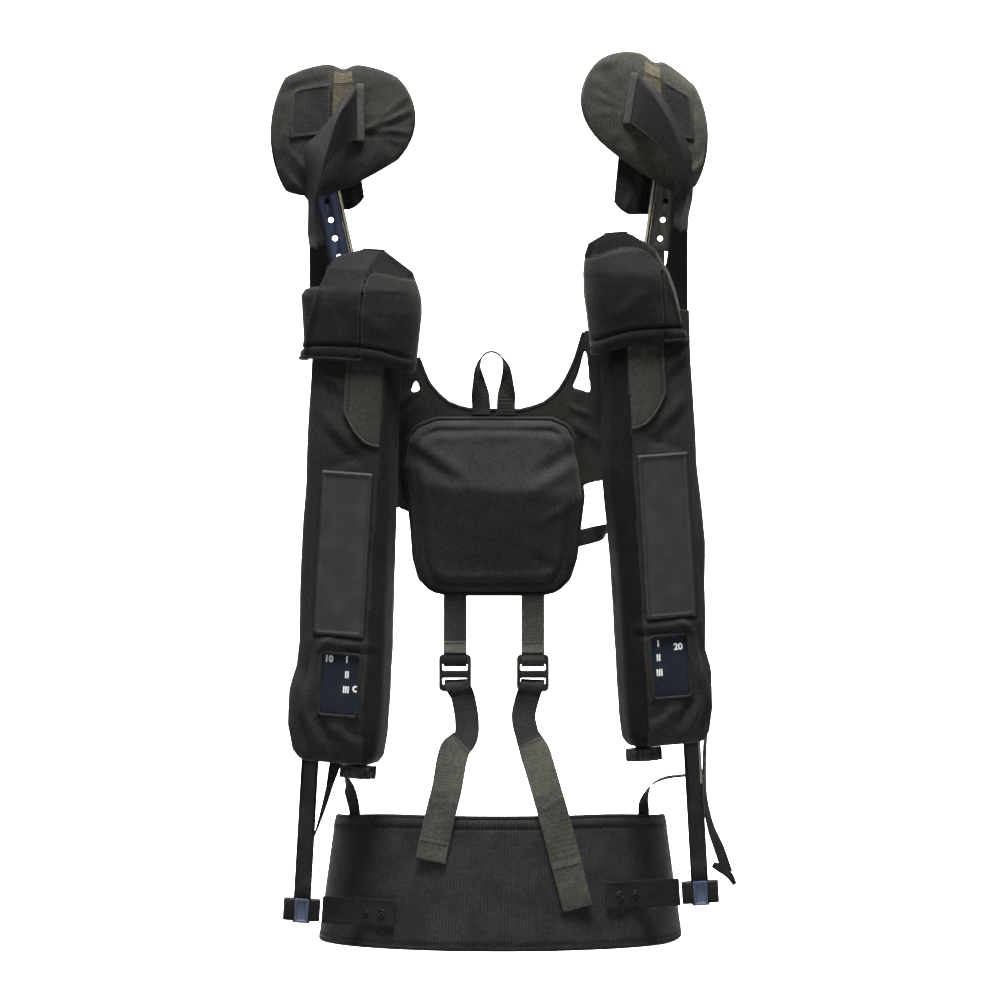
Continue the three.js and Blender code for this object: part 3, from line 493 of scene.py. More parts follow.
def webbing(name, dark, light, rib_mm=1.7, relief=0.5, sheen=0.25):
    """Woven tape: ribs across the run, two threads along it and a slow drift of tone."""
    made = cloth(name, dark, light, 1.0, relief, sheen, patches=26.0)
    nodes = made.node_tree.nodes
    threads = [n for n in nodes if n.type == "TEX_WAVE"]
    for thread, wide, way in zip(threads, (rib_mm, 2.1), "XY"):
        thread.bands_direction = way
        thread.inputs["Scale"].default_value = 2 * math.pi / (20 * wide * MM)
        thread.inputs["Distortion"].default_value = 0.25
        wire(made, (nodes["Texture Coordinate"], "UV", thread, "Vector"))
    return made


LOOP_WEBBING = webbing("loop_webbing", (0.016, 0.016, 0.017), (0.034, 0.033, 0.029), rib_mm=2.4)
LOOP_Y, LOOP_WIDTH = -5.6, 20
LOOP = [
    ((-14, LOOP_Y, 92), (1, 0, 0)),
    ((-14, LOOP_Y, 105), (1, 0, 0)),
    ((-16, LOOP_Y - 1, 126), (0.68, 0.73, 0)),
    ((-17, LOOP_Y - 1, 145), (0.2, 0.98, 0)),
    ((-11, LOOP_Y - 1, 157), (0, 1, 0)),
    ((-3, LOOP_Y - 1, 160.5), (0, 1, 0)),
    ((6, LOOP_Y - 1, 157), (0, 1, 0)),
    ((13, LOOP_Y - 1, 145), (-0.3, 0.95, 0)),
    ((14, LOOP_Y - 1, 126), (-0.68, 0.73, 0)),
    ((13, LOOP_Y, 105), (-1, 0, 0)),
    ((13, LOOP_Y, 92), (-1, 0, 0)),
]
loop_bm = strap_bmesh(strap_line(LOOP, LOOP_WIDTH), LOOP_WIDTH, 64)
loop = sewn_thick(piece("grab_loop_webbing", loop_bm, [LOOP_WEBBING, BINDING]), 1.9, edge_slot=1)
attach(loop, "harness")
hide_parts("grab_loop")
bars = []
for z in (97, 101, 105, 109, 113):
    bars.append(([Vector((x, LOOP_Y - 1.35, z)) * MM for x in (5, 13, 21)], (0, -1, 0)))
loop_stitches = stitches("grab_loop_stitches", bars, PALE_THREAD, pitch=2.0, length=1.6, width=0.6)
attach(loop_stitches, "harness")

# Two webbings hang from the foot of the panel. Each is folded round the top bar of its ladder-lock buckle and
# sewn back on itself with one cross row of thread; the buckle is moulded black nylon with softened edges.
# HANG is the depth and height of each turn of the webbing.
WEB_X = {"left": -42, "right": 42}
WEB_WIDTH, WEB_THICK = 25, 1.8
HANG = ((-7, -98), (-9, -130), (-14.5, -157), (-20.2, -165), (-20.6, -173.5), (-15, -178.4), (-10, -178.8))
# The left webbing is a darker copy and the right a lighter copy of one webbing: painted shade and painted light.
WEBBING_SHADE_AND_LIGHT = {
    "left": webbing("shaded_webbing", (0.016, 0.016, 0.018), (0.026, 0.026, 0.028), rib_mm=1.9),
    "right": webbing("grey_webbing", (0.040, 0.039, 0.034), (0.056, 0.055, 0.047), rib_mm=1.9),
}
# A lighter copy of the webbing for faces that catch the light: painted light.
LIT_WEBBING = webbing("lit_webbing", (0.048, 0.047, 0.040), (0.070, 0.068, 0.058), rib_mm=1.7)
# A darker copy: painted shade on cut edges and on the tails' undersides, and the waist straps' own dark colour.
SHADE_AND_DARK_WEBBING = webbing("dark_and_painted_shade_webbing", (0.014, 0.014, 0.017), (0.022, 0.022, 0.024), rib_mm=1.7)


def hard_copy(name, node, bevel_mm, finish, angle=35):
    """A merged copy of a hard solid with its flat faces whole again and its edges broken."""
    bm = merged(node)
    bmesh.ops.dissolve_limit(bm, angle_limit=math.radians(1.5), verts=bm.verts, edges=bm.edges)
    sharp = [e for e in bm.edges if len(e.link_faces) == 2 and e.calc_face_angle(0) > math.radians(angle)]
    bmesh.ops.bevel(
        bm,
        geom=sharp,
        offset=bevel_mm * MM,
        affect="EDGES",
        segments=2,
        profile=0.5,
        material=-1,
        clamp_overlap=True,
    )
    made = piece(name, bm, finish)
    made.data.set_sharp_from_angle(angle=math.radians(40))
    return made


def moulded(name, dark, light, rough, grain=700.0, metal=0.0, relief=0.12):
    """Moulded or painted surface: fine grain, faint scuffs and a roughness that wanders with them."""
    made = bpy.data.materials.new(name)
    made.use_nodes = True
    shade = made.node_tree.nodes["Principled BSDF"]
    shade.inputs["Metallic"].default_value = metal
    shade.inputs["Specular IOR Level"].default_value = 0.22
    where = add_node(made, "TexCoord")
    scuff = add_node(made, "TexNoise", {"Scale": 60, "Detail": 8})
    tone = tone_ramp(made, (0.42, dark), (0.72, light))
    wander = add_node(made, "MapRange", {"To Min": rough - 0.1, "To Max": rough + 0.14})
    speckle = add_node(made, "TexNoise", {"Scale": grain})
    bump = add_node(made, "Bump", {"Strength": relief, "Distance": 0.0003})
    wire(
        made,
        (where, "Object", scuff, "Vector"),
        (where, "Object", speckle, "Vector"),
        (scuff, "Fac", tone, "Fac"),
        (tone, "Color", shade, "Base Color"),
        (scuff, "Fac", wander, "Value"),
        (wander, "Result", shade, "Roughness"),
        (speckle, "Fac", bump, "Height"),
        (bump, "Normal", shade, "Normal"),
    )
    return made


BLACK_NYLON = moulded("moulded_nylon", (0.010, 0.010, 0.011), (0.020, 0.020, 0.021), rough=0.42)
for side, x in WEB_X.items():
    hang_place = strap_line([((x, y, z), (1, 0, 0)) for y, z in HANG], WEB_WIDTH)
    upper = piece(f"webbing_{side}", strap_bmesh(hang_place, WEB_WIDTH, 54), [WEBBING_SHADE_AND_LIGHT[side], SHADE_AND_DARK_WEBBING])
    sewn_thick(upper, WEB_THICK, edge_slot=1)
    fold_bm = strap_bmesh(hang_place, WEB_WIDTH - 0.6, 14, start=0.295, end=0.5, lift=lambda u, v: -1.8)
    fold = sewn_thick(piece(f"webbing_fold_{side}", fold_bm, [LIT_WEBBING, SHADE_AND_DARK_WEBBING]), 1.4, edge_slot=1)
    sew_line = [hang_place(0.315, v, -2.6) for v in (0.08, 0.35, 0.65, 0.92)]
    sewn = stitches(f"webbing_stitches_{side}", [(sew_line, (0, -1, 0))], DARK_THREAD, pitch=3.4, length=2.6, width=0.8)
    for made in (upper, fold, sewn):
        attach(made, "harness")
    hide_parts(f"upper_webbing_{side}")
    lock = hard_copy(f"ladder_lock_{side}", f"buckle_{side}", 1.1, BLACK_NYLON)
    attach(lock, "harness")
    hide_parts(f"buckle_{side}")

# The free ends come over the lower bar of each buckle, turn over once and lie on the belt. Before the turn they
# are a darker copy of the webbing, painted shade; after it a lighter copy, painted light. Each ends in a folded hem
# with a row of thread; old creases cross them where they were stored folded.
TAILS = {
    "left": [(-41, -194), (-40, -199), (-37, -204), (-34, -210), (-29, -240), (-31, -256), (-42, -268), (-51, -310),
             (-59, -342), (-68, -386)],
    "right": [(42, -194), (41, -199), (39, -204), (37, -210), (32, -232), (36, -252), (44, -270), (57, -312),
              (65, -340), (90, -437)],
}
TAIL_DEPTHS = (-11, -20.4, -21.2, -19.6)
TAIL_NARROW, TAIL_WIDE, TAIL_THICK, TAIL_TURN = 26, 33, 2.2, 0.6
TAIL_CREASES = {"left": (0.78, 0.82), "right": (0.775, 0.83)}
BELT_X, BELT_Y, BELT_TOP, BELT_FOOT, BELT_THICK, BELT_WRAP = 7, 62, -339, -481, 6, 128
BELT_HALF_X, BELT_HALF_Y = (179, 199), (121, 136)


def belt_halves(z):
    """Half width and half depth of the belt at a height, as it widens to its foot."""
    share = (BELT_TOP - z) / (BELT_TOP - BELT_FOOT)
    return [top + (foot - top) * share for top, foot in (BELT_HALF_X, BELT_HALF_Y)]


def belt_back(x, z):
    """Where the back of the belt lies, or its edge for a point above or below it."""
    half_x, half_y = belt_halves(min(BELT_TOP, max(BELT_FOOT, z)))
    return BELT_Y - half_y * math.sqrt(1 - ((x - BELT_X) / half_x) ** 2)


for side, points in TAILS.items():
    stations = []
    for i, (x, z) in enumerate(points):
        off = blend_to(205, 335, -z)
        depth = TAIL_DEPTHS[i] if i < 4 else -17 * (1 - off) + (belt_back(x, z) - 3.4) * off
        turn = 0.15 * math.copysign(1, x) if i > 6 else 0
        stations.append(((x, depth, z), (1, turn, 0), TAIL_NARROW if i < 6 else TAIL_WIDE))
    tail_place = strap_line(stations, TAIL_WIDE)

    def tail_lift(u, v, creases=TAIL_CREASES[side]):
        wave = -1.5 * bump_at(u, TAIL_TURN + 0.012 * (v - 0.5), 0.014)
        wave -= sum(0.9 * bump_at(u, c + 0.012 * math.sin(5 * v), 0.007) for c in creases)
        return wave - 0.9 * (2 * v - 1) ** 2 * blend_to(0.3, 0.5, u) * (1 - blend_to(0.55, 0.62, u))

    tail_bm = strap_bmesh(tail_place, TAIL_WIDE, 120, 8, lift=tail_lift)
    tail = piece(f"tail_webbing_{side}", tail_bm, [LIT_WEBBING, SHADE_AND_DARK_WEBBING])
    tail_cut = tail.data.uv_layers.active.data
    tail_length = max(loop.uv.x for loop in tail_cut)
    # Faces before the turn take the darker webbing (painted shade), the rest the lighter one (painted light).
    for face in tail.data.polygons:
        along = sum(tail_cut[i].uv.x for i in face.loop_indices) / len(face.loop_indices)
        face.material_index = int(along / tail_length < TAIL_TURN - 0.004)
    sewn_thick(tail, TAIL_THICK, edge_slot=1)
    hem_bm = strap_bmesh(tail_place, TAIL_WIDE, 6, 6, start=0.945, end=1.0, lift=lambda u, v: -1.7)
    hem = sewn_thick(piece(f"tail_hem_{side}", hem_bm, [LIT_WEBBING, SHADE_AND_DARK_WEBBING]), 1.3, edge_slot=1)
    hem_line = [tail_place(0.952, v, -2.5) for v in (0.05, 0.35, 0.65, 0.95)]
    hem_sewn = stitches(
        f"tail_stitches_{side}", [(hem_line, (0, -1, 0))], DARK_THREAD, pitch=3.6, length=2.8, width=0.8
    )
    for made in (tail, hem, hem_sewn):
        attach(made, "harness")
    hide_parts(f"tail_{side}")

# The lumbar belt is foam in a ribbed spacer mesh, cut as a cone and bound along its top and foot.
# It wraps round the waist and tapers at both ends to the front strap; a plain clasp closes it in front.
BELT_TAPER, BELT_LONG, BELT_TALL = 84, 0.78, 0.142
FRONT_Z, FRONT_WIDTH, FRONT_LONG, FRONT_TURN = -415, 40, 0.16, (118, 173)


def belt_point(degrees, z, grow):
    """A point round the belt from the middle of its back, off the plain cone by grow."""
    turn = math.radians(degrees)
    half_x, half_y = belt_halves(z)
    return Vector((BELT_X + (half_x + grow) * math.sin(turn), BELT_Y - (half_y + grow) * math.cos(turn), z))


def belt_edges(degrees):
    taper = blend_to(BELT_TAPER, BELT_WRAP, abs(degrees))
    foot = BELT_FOOT + (FRONT_Z - FRONT_WIDTH / 2 - 4 - BELT_FOOT) * taper
    top = BELT_TOP + (FRONT_Z + FRONT_WIDTH / 2 + 4 - BELT_TOP) * taper
    return foot + 3 * blend_to(60, 90, degrees), top - 7 * blend_to(35, 88, abs(degrees)) * (1 - taper)


def belt_face(u, v):
    degrees = -BELT_WRAP + 2 * BELT_WRAP * u
    foot, top = belt_edges(degrees)
    z = foot + (top - foot) * v
    below, above = top - z, z - foot
    swell = -1.3 * bump_at(below, 12, 1.5) + 0.5 * bump_at(below, 6, 5) - 1.1 * bump_at(above, 6, 1.4)
    swell -= 2.2 * math.exp(-min(below, above) / 1.6)
    swell += 0.7 * noise.noise(Vector((degrees / 26, z / 60, 7)))
    return belt_point(degrees, z, -0.4 + swell) * MM


def ribbed_mesh(name, dark, light, rib_mm):
    """Spacer mesh: upright ribs that lean a little as the knit is stretched, with open cells between."""
    made = webbing(name, dark, light, rib_mm, relief=0.6, sheen=0.25)
    nodes = made.node_tree.nodes
    ribs = [n for n in nodes if n.type == "TEX_WAVE"]
    ribs[0].inputs["Distortion"].default_value = 2.4
    ribs[0].inputs["Detail Scale"].default_value = 0.05
    next(n for n in nodes if n.type == "MIX").inputs["Factor"].default_value = 0.6
    return made


BELT_MESH = ribbed_mesh("ribbed_belt_mesh", (0.021, 0.021, 0.024), (0.033, 0.033, 0.0355), rib_mm=3.4)
belt_bm = faced(cut_to_size(cloth_grid(168, 60, belt_face), BELT_LONG, BELT_TALL))
if sum(f.normal.x * f.calc_center_median().x for f in belt_bm.faces) < 0:
    bmesh.ops.reverse_faces(belt_bm, faces=belt_bm.faces)
belt = piece("belt_wrap", belt_bm, [BELT_MESH, BINDING])
belt_wall = belt.modifiers.new("foam", "SOLIDIFY")
belt_wall.thickness = (BELT_THICK - 0.8) * MM
belt_wall.offset = -1
belt_wall.material_offset_rim = 1
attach(belt, "harness")
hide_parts("lumbar_belt")


def belt_run(level, lift):
    """A line round the belt, at the height that level makes of its foot and top, and lifted off its face."""
    points, facing = [], []
    for degrees in np.linspace(-BELT_WRAP + 1, BELT_WRAP - 1, 160):
        foot, top = belt_edges(degrees)
        z = level(foot, top)
        points.append(belt_point(degrees, z, lift) * MM)
        facing.append(Vector((math.sin(math.radians(degrees)), -math.cos(math.radians(degrees)), 0.1)))
    return points, facing


belt_binding_top = welt("belt_binding_top", belt_run(lambda foot, top: top - 1.2, -3.4)[0], 3.1, BINDING)
belt_binding_foot = welt("belt_binding_foot", belt_run(lambda foot, top: foot + 1.2, -3.4)[0], 3.1, BINDING)
belt_rows = [belt_run(lambda foot, top: top - 10.4, -0.2), belt_run(lambda foot, top: foot + 7.6, -0.2)]
belt_stitches = stitches("belt_stitches", belt_rows, DARK_THREAD, pitch=4.2, length=2.9, width=0.6)
for made in (belt_binding_top, belt_binding_foot, belt_stitches):
    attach(made, "harness")

# The front straps are flat webbing sewn on the tapered ends of the belt, and the clasp is one moulded piece.
for side, out in (("left", -1), ("right", 1)):

    def front_face(u, v, out=out):
        z = FRONT_Z + (v - 0.5) * FRONT_WIDTH
        level = z + (FRONT_Z - z) * blend_to(0.3, 0.9, u)
        at = belt_point(out * (FRONT_TURN[0] + (FRONT_TURN[1] - FRONT_TURN[0]) * u), level, 2.2)
        return Vector((at.x, at.y, z)) * MM

    front_bm = cut_to_size(cloth_grid(40, 6, front_face), FRONT_LONG, FRONT_WIDTH * MM)
    front = sewn_thick(piece(f"waist_webbing_{side}", front_bm, [SHADE_AND_DARK_WEBBING, BINDING]), 2.2, edge_slot=1)
    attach(front, "harness")
    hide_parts(f"waist_strap_{side}")
clasp = hard_copy("clasp_body", "waist_clasp", 1.6, BLACK_NYLON)
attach(clasp, "harness")
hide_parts("waist_clasp")

# The side bars are flat steel tubes in black paint that slide in the foot of each housing.
# A cream strip of bare metal along the outer rear corner of the right one is a painted glint.
# A hinge is given by its place, the way out from the wearer and the lean of its rail in degrees.
HINGES = {"left": (-157, 6, 227, -1, 12.5), "right": (172, 6, 246, 1, 8)}
SLEEVE_LEAN, SLEEVE_TURN, SLEEVE_AT = math.radians(3.3), math.radians(18), Vector((-18, -46, 0))
HINGE_FRAME, LEAN_FRAME, SLEEVE_FRAME = {}, {}, {}
for side, (x, y, z, out, _) in HINGES.items():
    HINGE_FRAME[side] = Matrix.Translation(Vector((x, y, z)) * MM) @ Matrix.Diagonal((out, 1, 1, 1))
    LEAN_FRAME[side] = HINGE_FRAME[side] @ Matrix.Rotation(-SLEEVE_LEAN, 4, "Y")
    turned = Matrix.Translation(SLEEVE_AT * MM) @ Matrix.Rotation(SLEEVE_TURN, 4, "Z")
    SLEEVE_FRAME[side] = LEAN_FRAME[side] @ turned


def stood(bm, matrix):
    """Moves a mesh from a side's own frame to its place, and turns its faces back out on the mirrored side."""
    bm.transform(matrix)
    if matrix.determinant() < 0:
        bmesh.ops.reverse_faces(bm, faces=bm.faces)
    return bm


BAR_PAINT = moulded("bar_paint", (0.012, 0.012, 0.013), (0.022, 0.022, 0.023), rough=0.38, grain=420.0)
BARE_METAL_AND_GLINT = moulded("bare_metal_and_glint", (0.50, 0.46, 0.37), (0.62, 0.58, 0.48), rough=0.34, grain=300.0, metal=0.75)
BAR_AT = Vector((12, -37, 0))
for side in HINGES:
    bar = hard_copy(f"bar_tube_{side}", f"side_bar_{side}", 0.5, BAR_PAINT)
    if side == "right":
        # Points of the painted glint along the right bar's corner.
        worn = [LEAN_FRAME[side] @ ((BAR_AT + Vector((7.4, -5.2, z))) * MM) for z in (-496, -520, -552)]
        glint_strip = welt("bar_painted_glint", worn, 1.4, BARE_METAL_AND_GLINT)
        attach(glint_strip, "harness")
    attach(bar, "harness")
    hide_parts(f"side_bar_{side}")

# Each bar stands in a clip: a webbing-covered block with a grey ring on its back face, and from the block a
# doubled tab runs to the belt, held there by two eyelets.
CLIP_COVER = cloth("clip_cover", (0.011, 0.011, 0.012), (0.020, 0.020, 0.019), thread_mm=1.6, relief=0.5, sheen=0.2)
RING_GREY = moulded("ring_grey", (0.060, 0.075, 0.125), (0.085, 0.10, 0.155), rough=0.4)
EYELET = moulded("eyelet", (0.020, 0.020, 0.022), (0.045, 0.045, 0.048), rough=0.36, grain=500.0, metal=0.6)
CLIP_FOOT, CLIP_TALL, CLIP_DEEP, RING_SIZE = -681, 23, 26, (15, 5, 26)
EYELETS, EYELET_RADIUS, TAB_HALF, TAB_RUN = (125, 143), 3.6, 12.6, (114, 150)
for side, (_, _, _, out, _) in HINGES.items():
    cover = hard_copy(f"clip_block_{side}", f"belt_clip_{side}", 2.2, CLIP_COVER)
    ring_bm = bmesh.new()
    bmesh.ops.create_cube(ring_bm, size=1.0, matrix=Matrix.Diagonal([edge * MM for edge in RING_SIZE] + [1]))
    back = [f for f in ring_bm.faces if f.normal.y < -0.9]
    bmesh.ops.inset_region(ring_bm, faces=back, thickness=3.2 * MM, depth=0)
    bmesh.ops.inset_region(ring_bm, faces=back, thickness=0.5 * MM, depth=-2 * MM)
    outer = [e for e in ring_bm.edges if e.calc_face_angle(0) > 1.2]
    bmesh.ops.bevel(ring_bm, geom=outer, offset=0.9 * MM, affect="EDGES", segments=2, profile=0.5, material=-1)
    ring_at = Vector((BAR_AT.x, BAR_AT.y - CLIP_DEEP / 2 - 1.6, CLIP_FOOT + CLIP_TALL / 2)) * MM
    stood(ring_bm, LEAN_FRAME[side] @ Matrix.Translation(ring_at))
    ring = piece(f"clip_ring_{side}", ring_bm, RING_GREY)
    ring.data.set_sharp_from_angle(angle=math.radians(40))
    tab = soft_copy(f"belt_tab_cloth_{side}", f"belt_tab_{side}", voxel_mm=1.1, smoothing=3, finish=CLIP_COVER)
    tab_z = (LEAN_FRAME[side] @ (Vector((BAR_AT.x, BAR_AT.y, CLIP_FOOT + CLIP_TALL / 2)) * MM)).z / MM - 3
    half = belt_halves(tab_z)[0]
    eyelets = []
    for i, distance in enumerate(EYELETS):
        turn = math.asin(distance / half)
        centre = belt_point(out * math.degrees(turn), tab_z, 5.4)
        outward = Vector((out * math.sin(turn) * 0.68, -math.cos(turn), 0)).normalized()
        level = outward.cross(Vector((0, 0, 1))).normalized()
        circle = []
        for step in range(18):
            turn = step * math.pi / 9
            spoke = level * math.cos(turn) + Vector((0, 0, math.sin(turn)))
            circle.append((centre + spoke * EYELET_RADIUS) * MM)
        eyelets.append(welt(f"eyelet_{side}_{i}", circle, 1.1, EYELET, closed=True))
    turns = [out * math.degrees(math.asin(distance / half)) for distance in np.linspace(*TAB_RUN, 10)]
    tab_rows = []
    for edge in (-TAB_HALF, TAB_HALF):
        tab_rows.append(([belt_point(turn, tab_z + edge, 4.7) * MM for turn in turns], (out * 0.5, -1, 0)))
    tab_sewn = stitches(f"belt_tab_stitches_{side}", tab_rows, DARK_THREAD, pitch=3.6, length=2.6, width=0.6)
    for made in (cover, ring, tab, tab_sewn, *eyelets):
        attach(made, "harness")
    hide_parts(f"belt_clip_{side}")
    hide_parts(f"belt_tab_{side}")

# The adjusting knobs are moulded with round flutes and turn under the foot of each housing.
KNOB_BLACK = moulded("knob_black", (0.022, 0.022, 0.023), (0.046, 0.046, 0.047), rough=0.26, grain=900.0)
for side in HINGES:
    knob = hard_copy(f"knob_grip_{side}", f"knob_{side}", 0.9, KNOB_BLACK, 50)
    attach(knob, f"knob_body_{side}")
    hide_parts(f"knob_{side}")

# Thin straps tie belt, sleeve and bar together; the loose one on the right ends in a folded stop.
THIN_TAPE = webbing("thin_tape", (0.011, 0.011, 0.012), (0.019, 0.019, 0.018), rib_mm=1.4)
THIN_STRAPS = {
    "side_strap_left": [
        ((-151, 8.5, -354), (1, -0.4, 0)),
        ((-151, 8, -338.4), (1, -0.4, 0)),
        ((-154, 2, -322), (1, 0.2, 0)),
        ((-159, -22, -300), (0.2, 1, 0)),
        ((-158, -30, -281), (0.6, 1, 0)),
    ],
    "bar_strap_left": [
        ((-171, -24, -282), (1, 0.2, 0)),
        ((-178, -22, -310), (0.6, 1, 0)),
        ((-186, -26, -338), (0.3, 1, 0)),
        ((-197, -30, -371), (0, 1, 0.2)),
    ],
    "side_strap_right": [
        ((162, 5, -354), (1, 0.4, 0)),
        ((162, 5, -337.6), (1, 0.4, 0)),
        ((162, 2, -326), (0.7, 0.7, 0)),
        ((169, -8, -309), (0.1, 1, 0)),
        ((184, -16, -300), (0, 1, 0.1)),
        ((211, -20, -296), (0, 1, 0.1)),
    ],
    "loose_tail_right": [
        ((231.5, -23, -224), (0.3, 1, 0)),
        ((228, -22, -258), (0.3, 1, 0)),
        ((227, -22, -290), (0.3, 1, 0)),
        ((228, -22, -322), (0.4, 1, 0)),
        ((234, -23, -352), (0.6, 0.8, 0)),
        ((244, -25, -378), (0.8, 0.5, 0.3)),
        ((252, -26, -402), (0.8, 0.4, 0.3)),
    ],
}
THIN_WIDTH, THIN_THICK = 13, 1.3
for node, stations in THIN_STRAPS.items():
    thin_bm = strap_bmesh(strap_line(stations, THIN_WIDTH), THIN_WIDTH, 12 * (len(stations) - 1), 4)
    thin = sewn_thick(piece(node + "_tape", thin_bm, THIN_TAPE), THIN_THICK, round_mm=0.3)
    long = max(loop.uv.x for loop in thin.data.uv_layers.active.data)
    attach(thin, "harness")
    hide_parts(node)
STOP = [
    ((236, -28.5, -392), (0.8, 0.2, 0.5), 7),
    ((245, -29, -397), (0.5, 0.2, 0.8), 9),
    ((254, -28.6, -404), (0.6, 0.2, 0.7), 8),
    ((260, -28, -414), (0.9, 0.2, 0.4), 5),
]
STOP_WIDTH = 9
stop_bm = strap_bmesh(strap_line(STOP, STOP_WIDTH), STOP_WIDTH, 18, 4)
stop = sewn_thick(piece("loose_tail_stop", stop_bm, THIN_TAPE), 2.6, round_mm=0.6)
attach(stop, "harness")

# Each sleeve is a cover of black nylon over the spring housing, boxed in section with corded corners.
# It swells at its foot over the adjuster, is gathered under the housing, and has a window for the scale.
# The tables give its half width, half depth, shift and slack at each height.
SLEEVE_Z = (-505, -500, -496, -470, -432, -405, -340, -150, -42)
SLEEVE_HALF = (38, 42, 44.5, 48, 47.5, 44, 43.5, 47, 46)
SLEEVE_DEEP = (26, 28.6, 30, 32, 32, 31, 31, 31, 30)
SLEEVE_SHIFT = (2, 2.5, 3, 5, 5, 2.5, 2.5, 4, 4)
WINDOW, LABEL = (-21, 23, -455, -388), (-23, 34, -369, -193)
FACE_SHIFT, SHADED_SIDE_FROM, PLATE_GAP = {"left": -8.5, "right": 0.5}, 28, 0.6
SLACK_Z = (-505, -465, -421, -378, -335, -292, -249, -205, -150, -84, -42)
SLACK_IN = {"left": (6, 8, 9, 9.5, 8, 6.5, 5, 3, 0, 0, 0), "right": (1.5, 2, 3, 4, 4, 4.5, 6, 7, 2, 0, 0)}
SLACK_OUT = {"left": (0, 2, 3, 0.5, 3, 3, 1.5, 0, 0, 0, 0), "right": (0, 0, 1, 4, 6, 8, 4.5, 1, 0, 0, 2)}
SLEEVE_FOLDS = (
    ((-26, -378), (34, -377), 5.5, 3.6),
    ((-30, -386), (4, -385), 3, -2.0),
    ((14, -372), (30, -388), 4, 2.6),
    ((-30, -396), (-25, -446), 4, 2.4),
    ((31, -394), (33, -456), 4.5, 3.4),
    ((38, -400), (42, -440), 4, -2.6),
    ((32, -460), (20, -492), 6, 4.4),
    ((20, -462), (8, -484), 4, -3.0),
    ((42, -462), (34, -496), 5, -3.4),
    ((6, -466), (-24, -488), 7, 2.8),
    ((46, -420), (38, -462), 5, 2.8),
    ((-8, -470), (-26, -476), 4, -1.8),
    ((-6, -174), (26, -190), 6, -1.6),
    ((30, -92), (40, -150), 6, -1.4),
    ((16, -104), (42, -84), 5, 2.0),
    ((18, -118), (44, -98), 5, -1.6),
    ((8, -160), (40, -128), 7, 2.4),
    ((-4, -182), (36, -152), 6, -1.6),
)
BOX_TURNS, BOX_HALF_X, BOX_HALF_Y = np.linspace(0, 2 * math.pi, 2881), 46, 31
BOX_X, BOX_Y = [np.sign(wave) * np.abs(wave) ** 0.5 for wave in (np.sin(BOX_TURNS), np.cos(BOX_TURNS))]
BOX_RUN = np.concatenate([[0], np.cumsum(np.hypot(np.diff(BOX_X) * BOX_HALF_X, np.diff(BOX_Y) * BOX_HALF_Y))])


def sleeve_section(u):
    """A point of the unit box section, at a share of the way round from the wearer's side."""
    return [float(np.interp(u * BOX_RUN[-1], BOX_RUN, axis)) for axis in (BOX_X, BOX_Y)]


def sleeve_size(side, z):
    """Middle, half width and half depth of the sleeve at a height, with the slack of its cloth."""
    inner, outer = np.interp(z, SLACK_Z, SLACK_IN[side]), np.interp(z, SLACK_Z, SLACK_OUT[side])
    middle, half = np.interp(z, SLEEVE_Z, SLEEVE_SHIFT), np.interp(z, SLEEVE_Z, SLEEVE_HALF)
    return middle + (outer - inner) / 2, half + (outer + inner) / 2, np.interp(z, SLEEVE_Z, SLEEVE_DEEP)


def sleeve_back(side, x, z, off=0.0):
    """A point on the back face of the sleeve, off its cloth by a distance; x is from the middle of the label."""
    middle, half, deep = sleeve_size(side, z)
    across = (x + FACE_SHIFT[side] - middle) / half
    return Vector((x + FACE_SHIFT[side], -deep * (1 - min(0.999, abs(across)) ** 4) ** 0.25 - off, z))


def sleeve_folds(x, z):
    """Folds of the cover on its back face: pulled round the window and the foot, slack above the label."""
    cords = 1.3 * bump_at(x, 38.5, 1.5) + 1.4 * bump_at(x, -29, 1.8)
    return cords + folded(x, z, SLEEVE_FOLDS) + 0.8 * noise.noise(Vector((x / 30, z / 46, 2)))


def inset_of(box, x, z):
    """How far a point lies inside a box of left, right, foot and top."""
    return min(x - box[0], box[1] - x, z - box[2], box[3] - z)


def in_box(box, u, v, inset=0.0):
    """The point at shares u across and v up a box that is drawn in from its edges."""
    x = box[0] + inset + (box[1] - box[0] - 2 * inset) * u
    return x, box[2] + inset + (box[3] - box[2] - 2 * inset) * v


def sleeve_cover(side, u, v):
    z = SLEEVE_Z[0] + (SLEEVE_Z[-1] - SLEEVE_Z[0]) * v
    cx, cy = sleeve_section(u)
    middle, half, deep = sleeve_size(side, z)
    at = Vector((middle + half * cx, deep * cy, z))
    x = at.x - FACE_SHIFT[side]
    outward = Vector((cx**3 / half, cy**3 / deep, 0)).normalized()
    if cy < 0:
        inside = inset_of(WINDOW, x, z)
        lift = sleeve_folds(x, z) * blend_to(0, 0.8, -cy) * (1 - blend_to(-3, 1, inside))
        lift += 1.8 * bump_at(inside, -2.6, 2.4) - 3.0 * blend_to(-0.6, 1.2, inside)
        lift *= 1 - 0.85 * blend_to(-4, 2, inset_of(LABEL, x, z))
    else:
        lift = 0.9 * noise.noise(Vector((cx * 2, z / 40, 9)))
    return (at + outward * lift) * MM


SLEEVE_CLOTH = cloth(
    "sleeve_nylon", (0.016, 0.016, 0.0168), (0.025, 0.025, 0.0235),
    thread_mm=1.3, relief=0.32, sheen=0.24, patches=7.0,
)
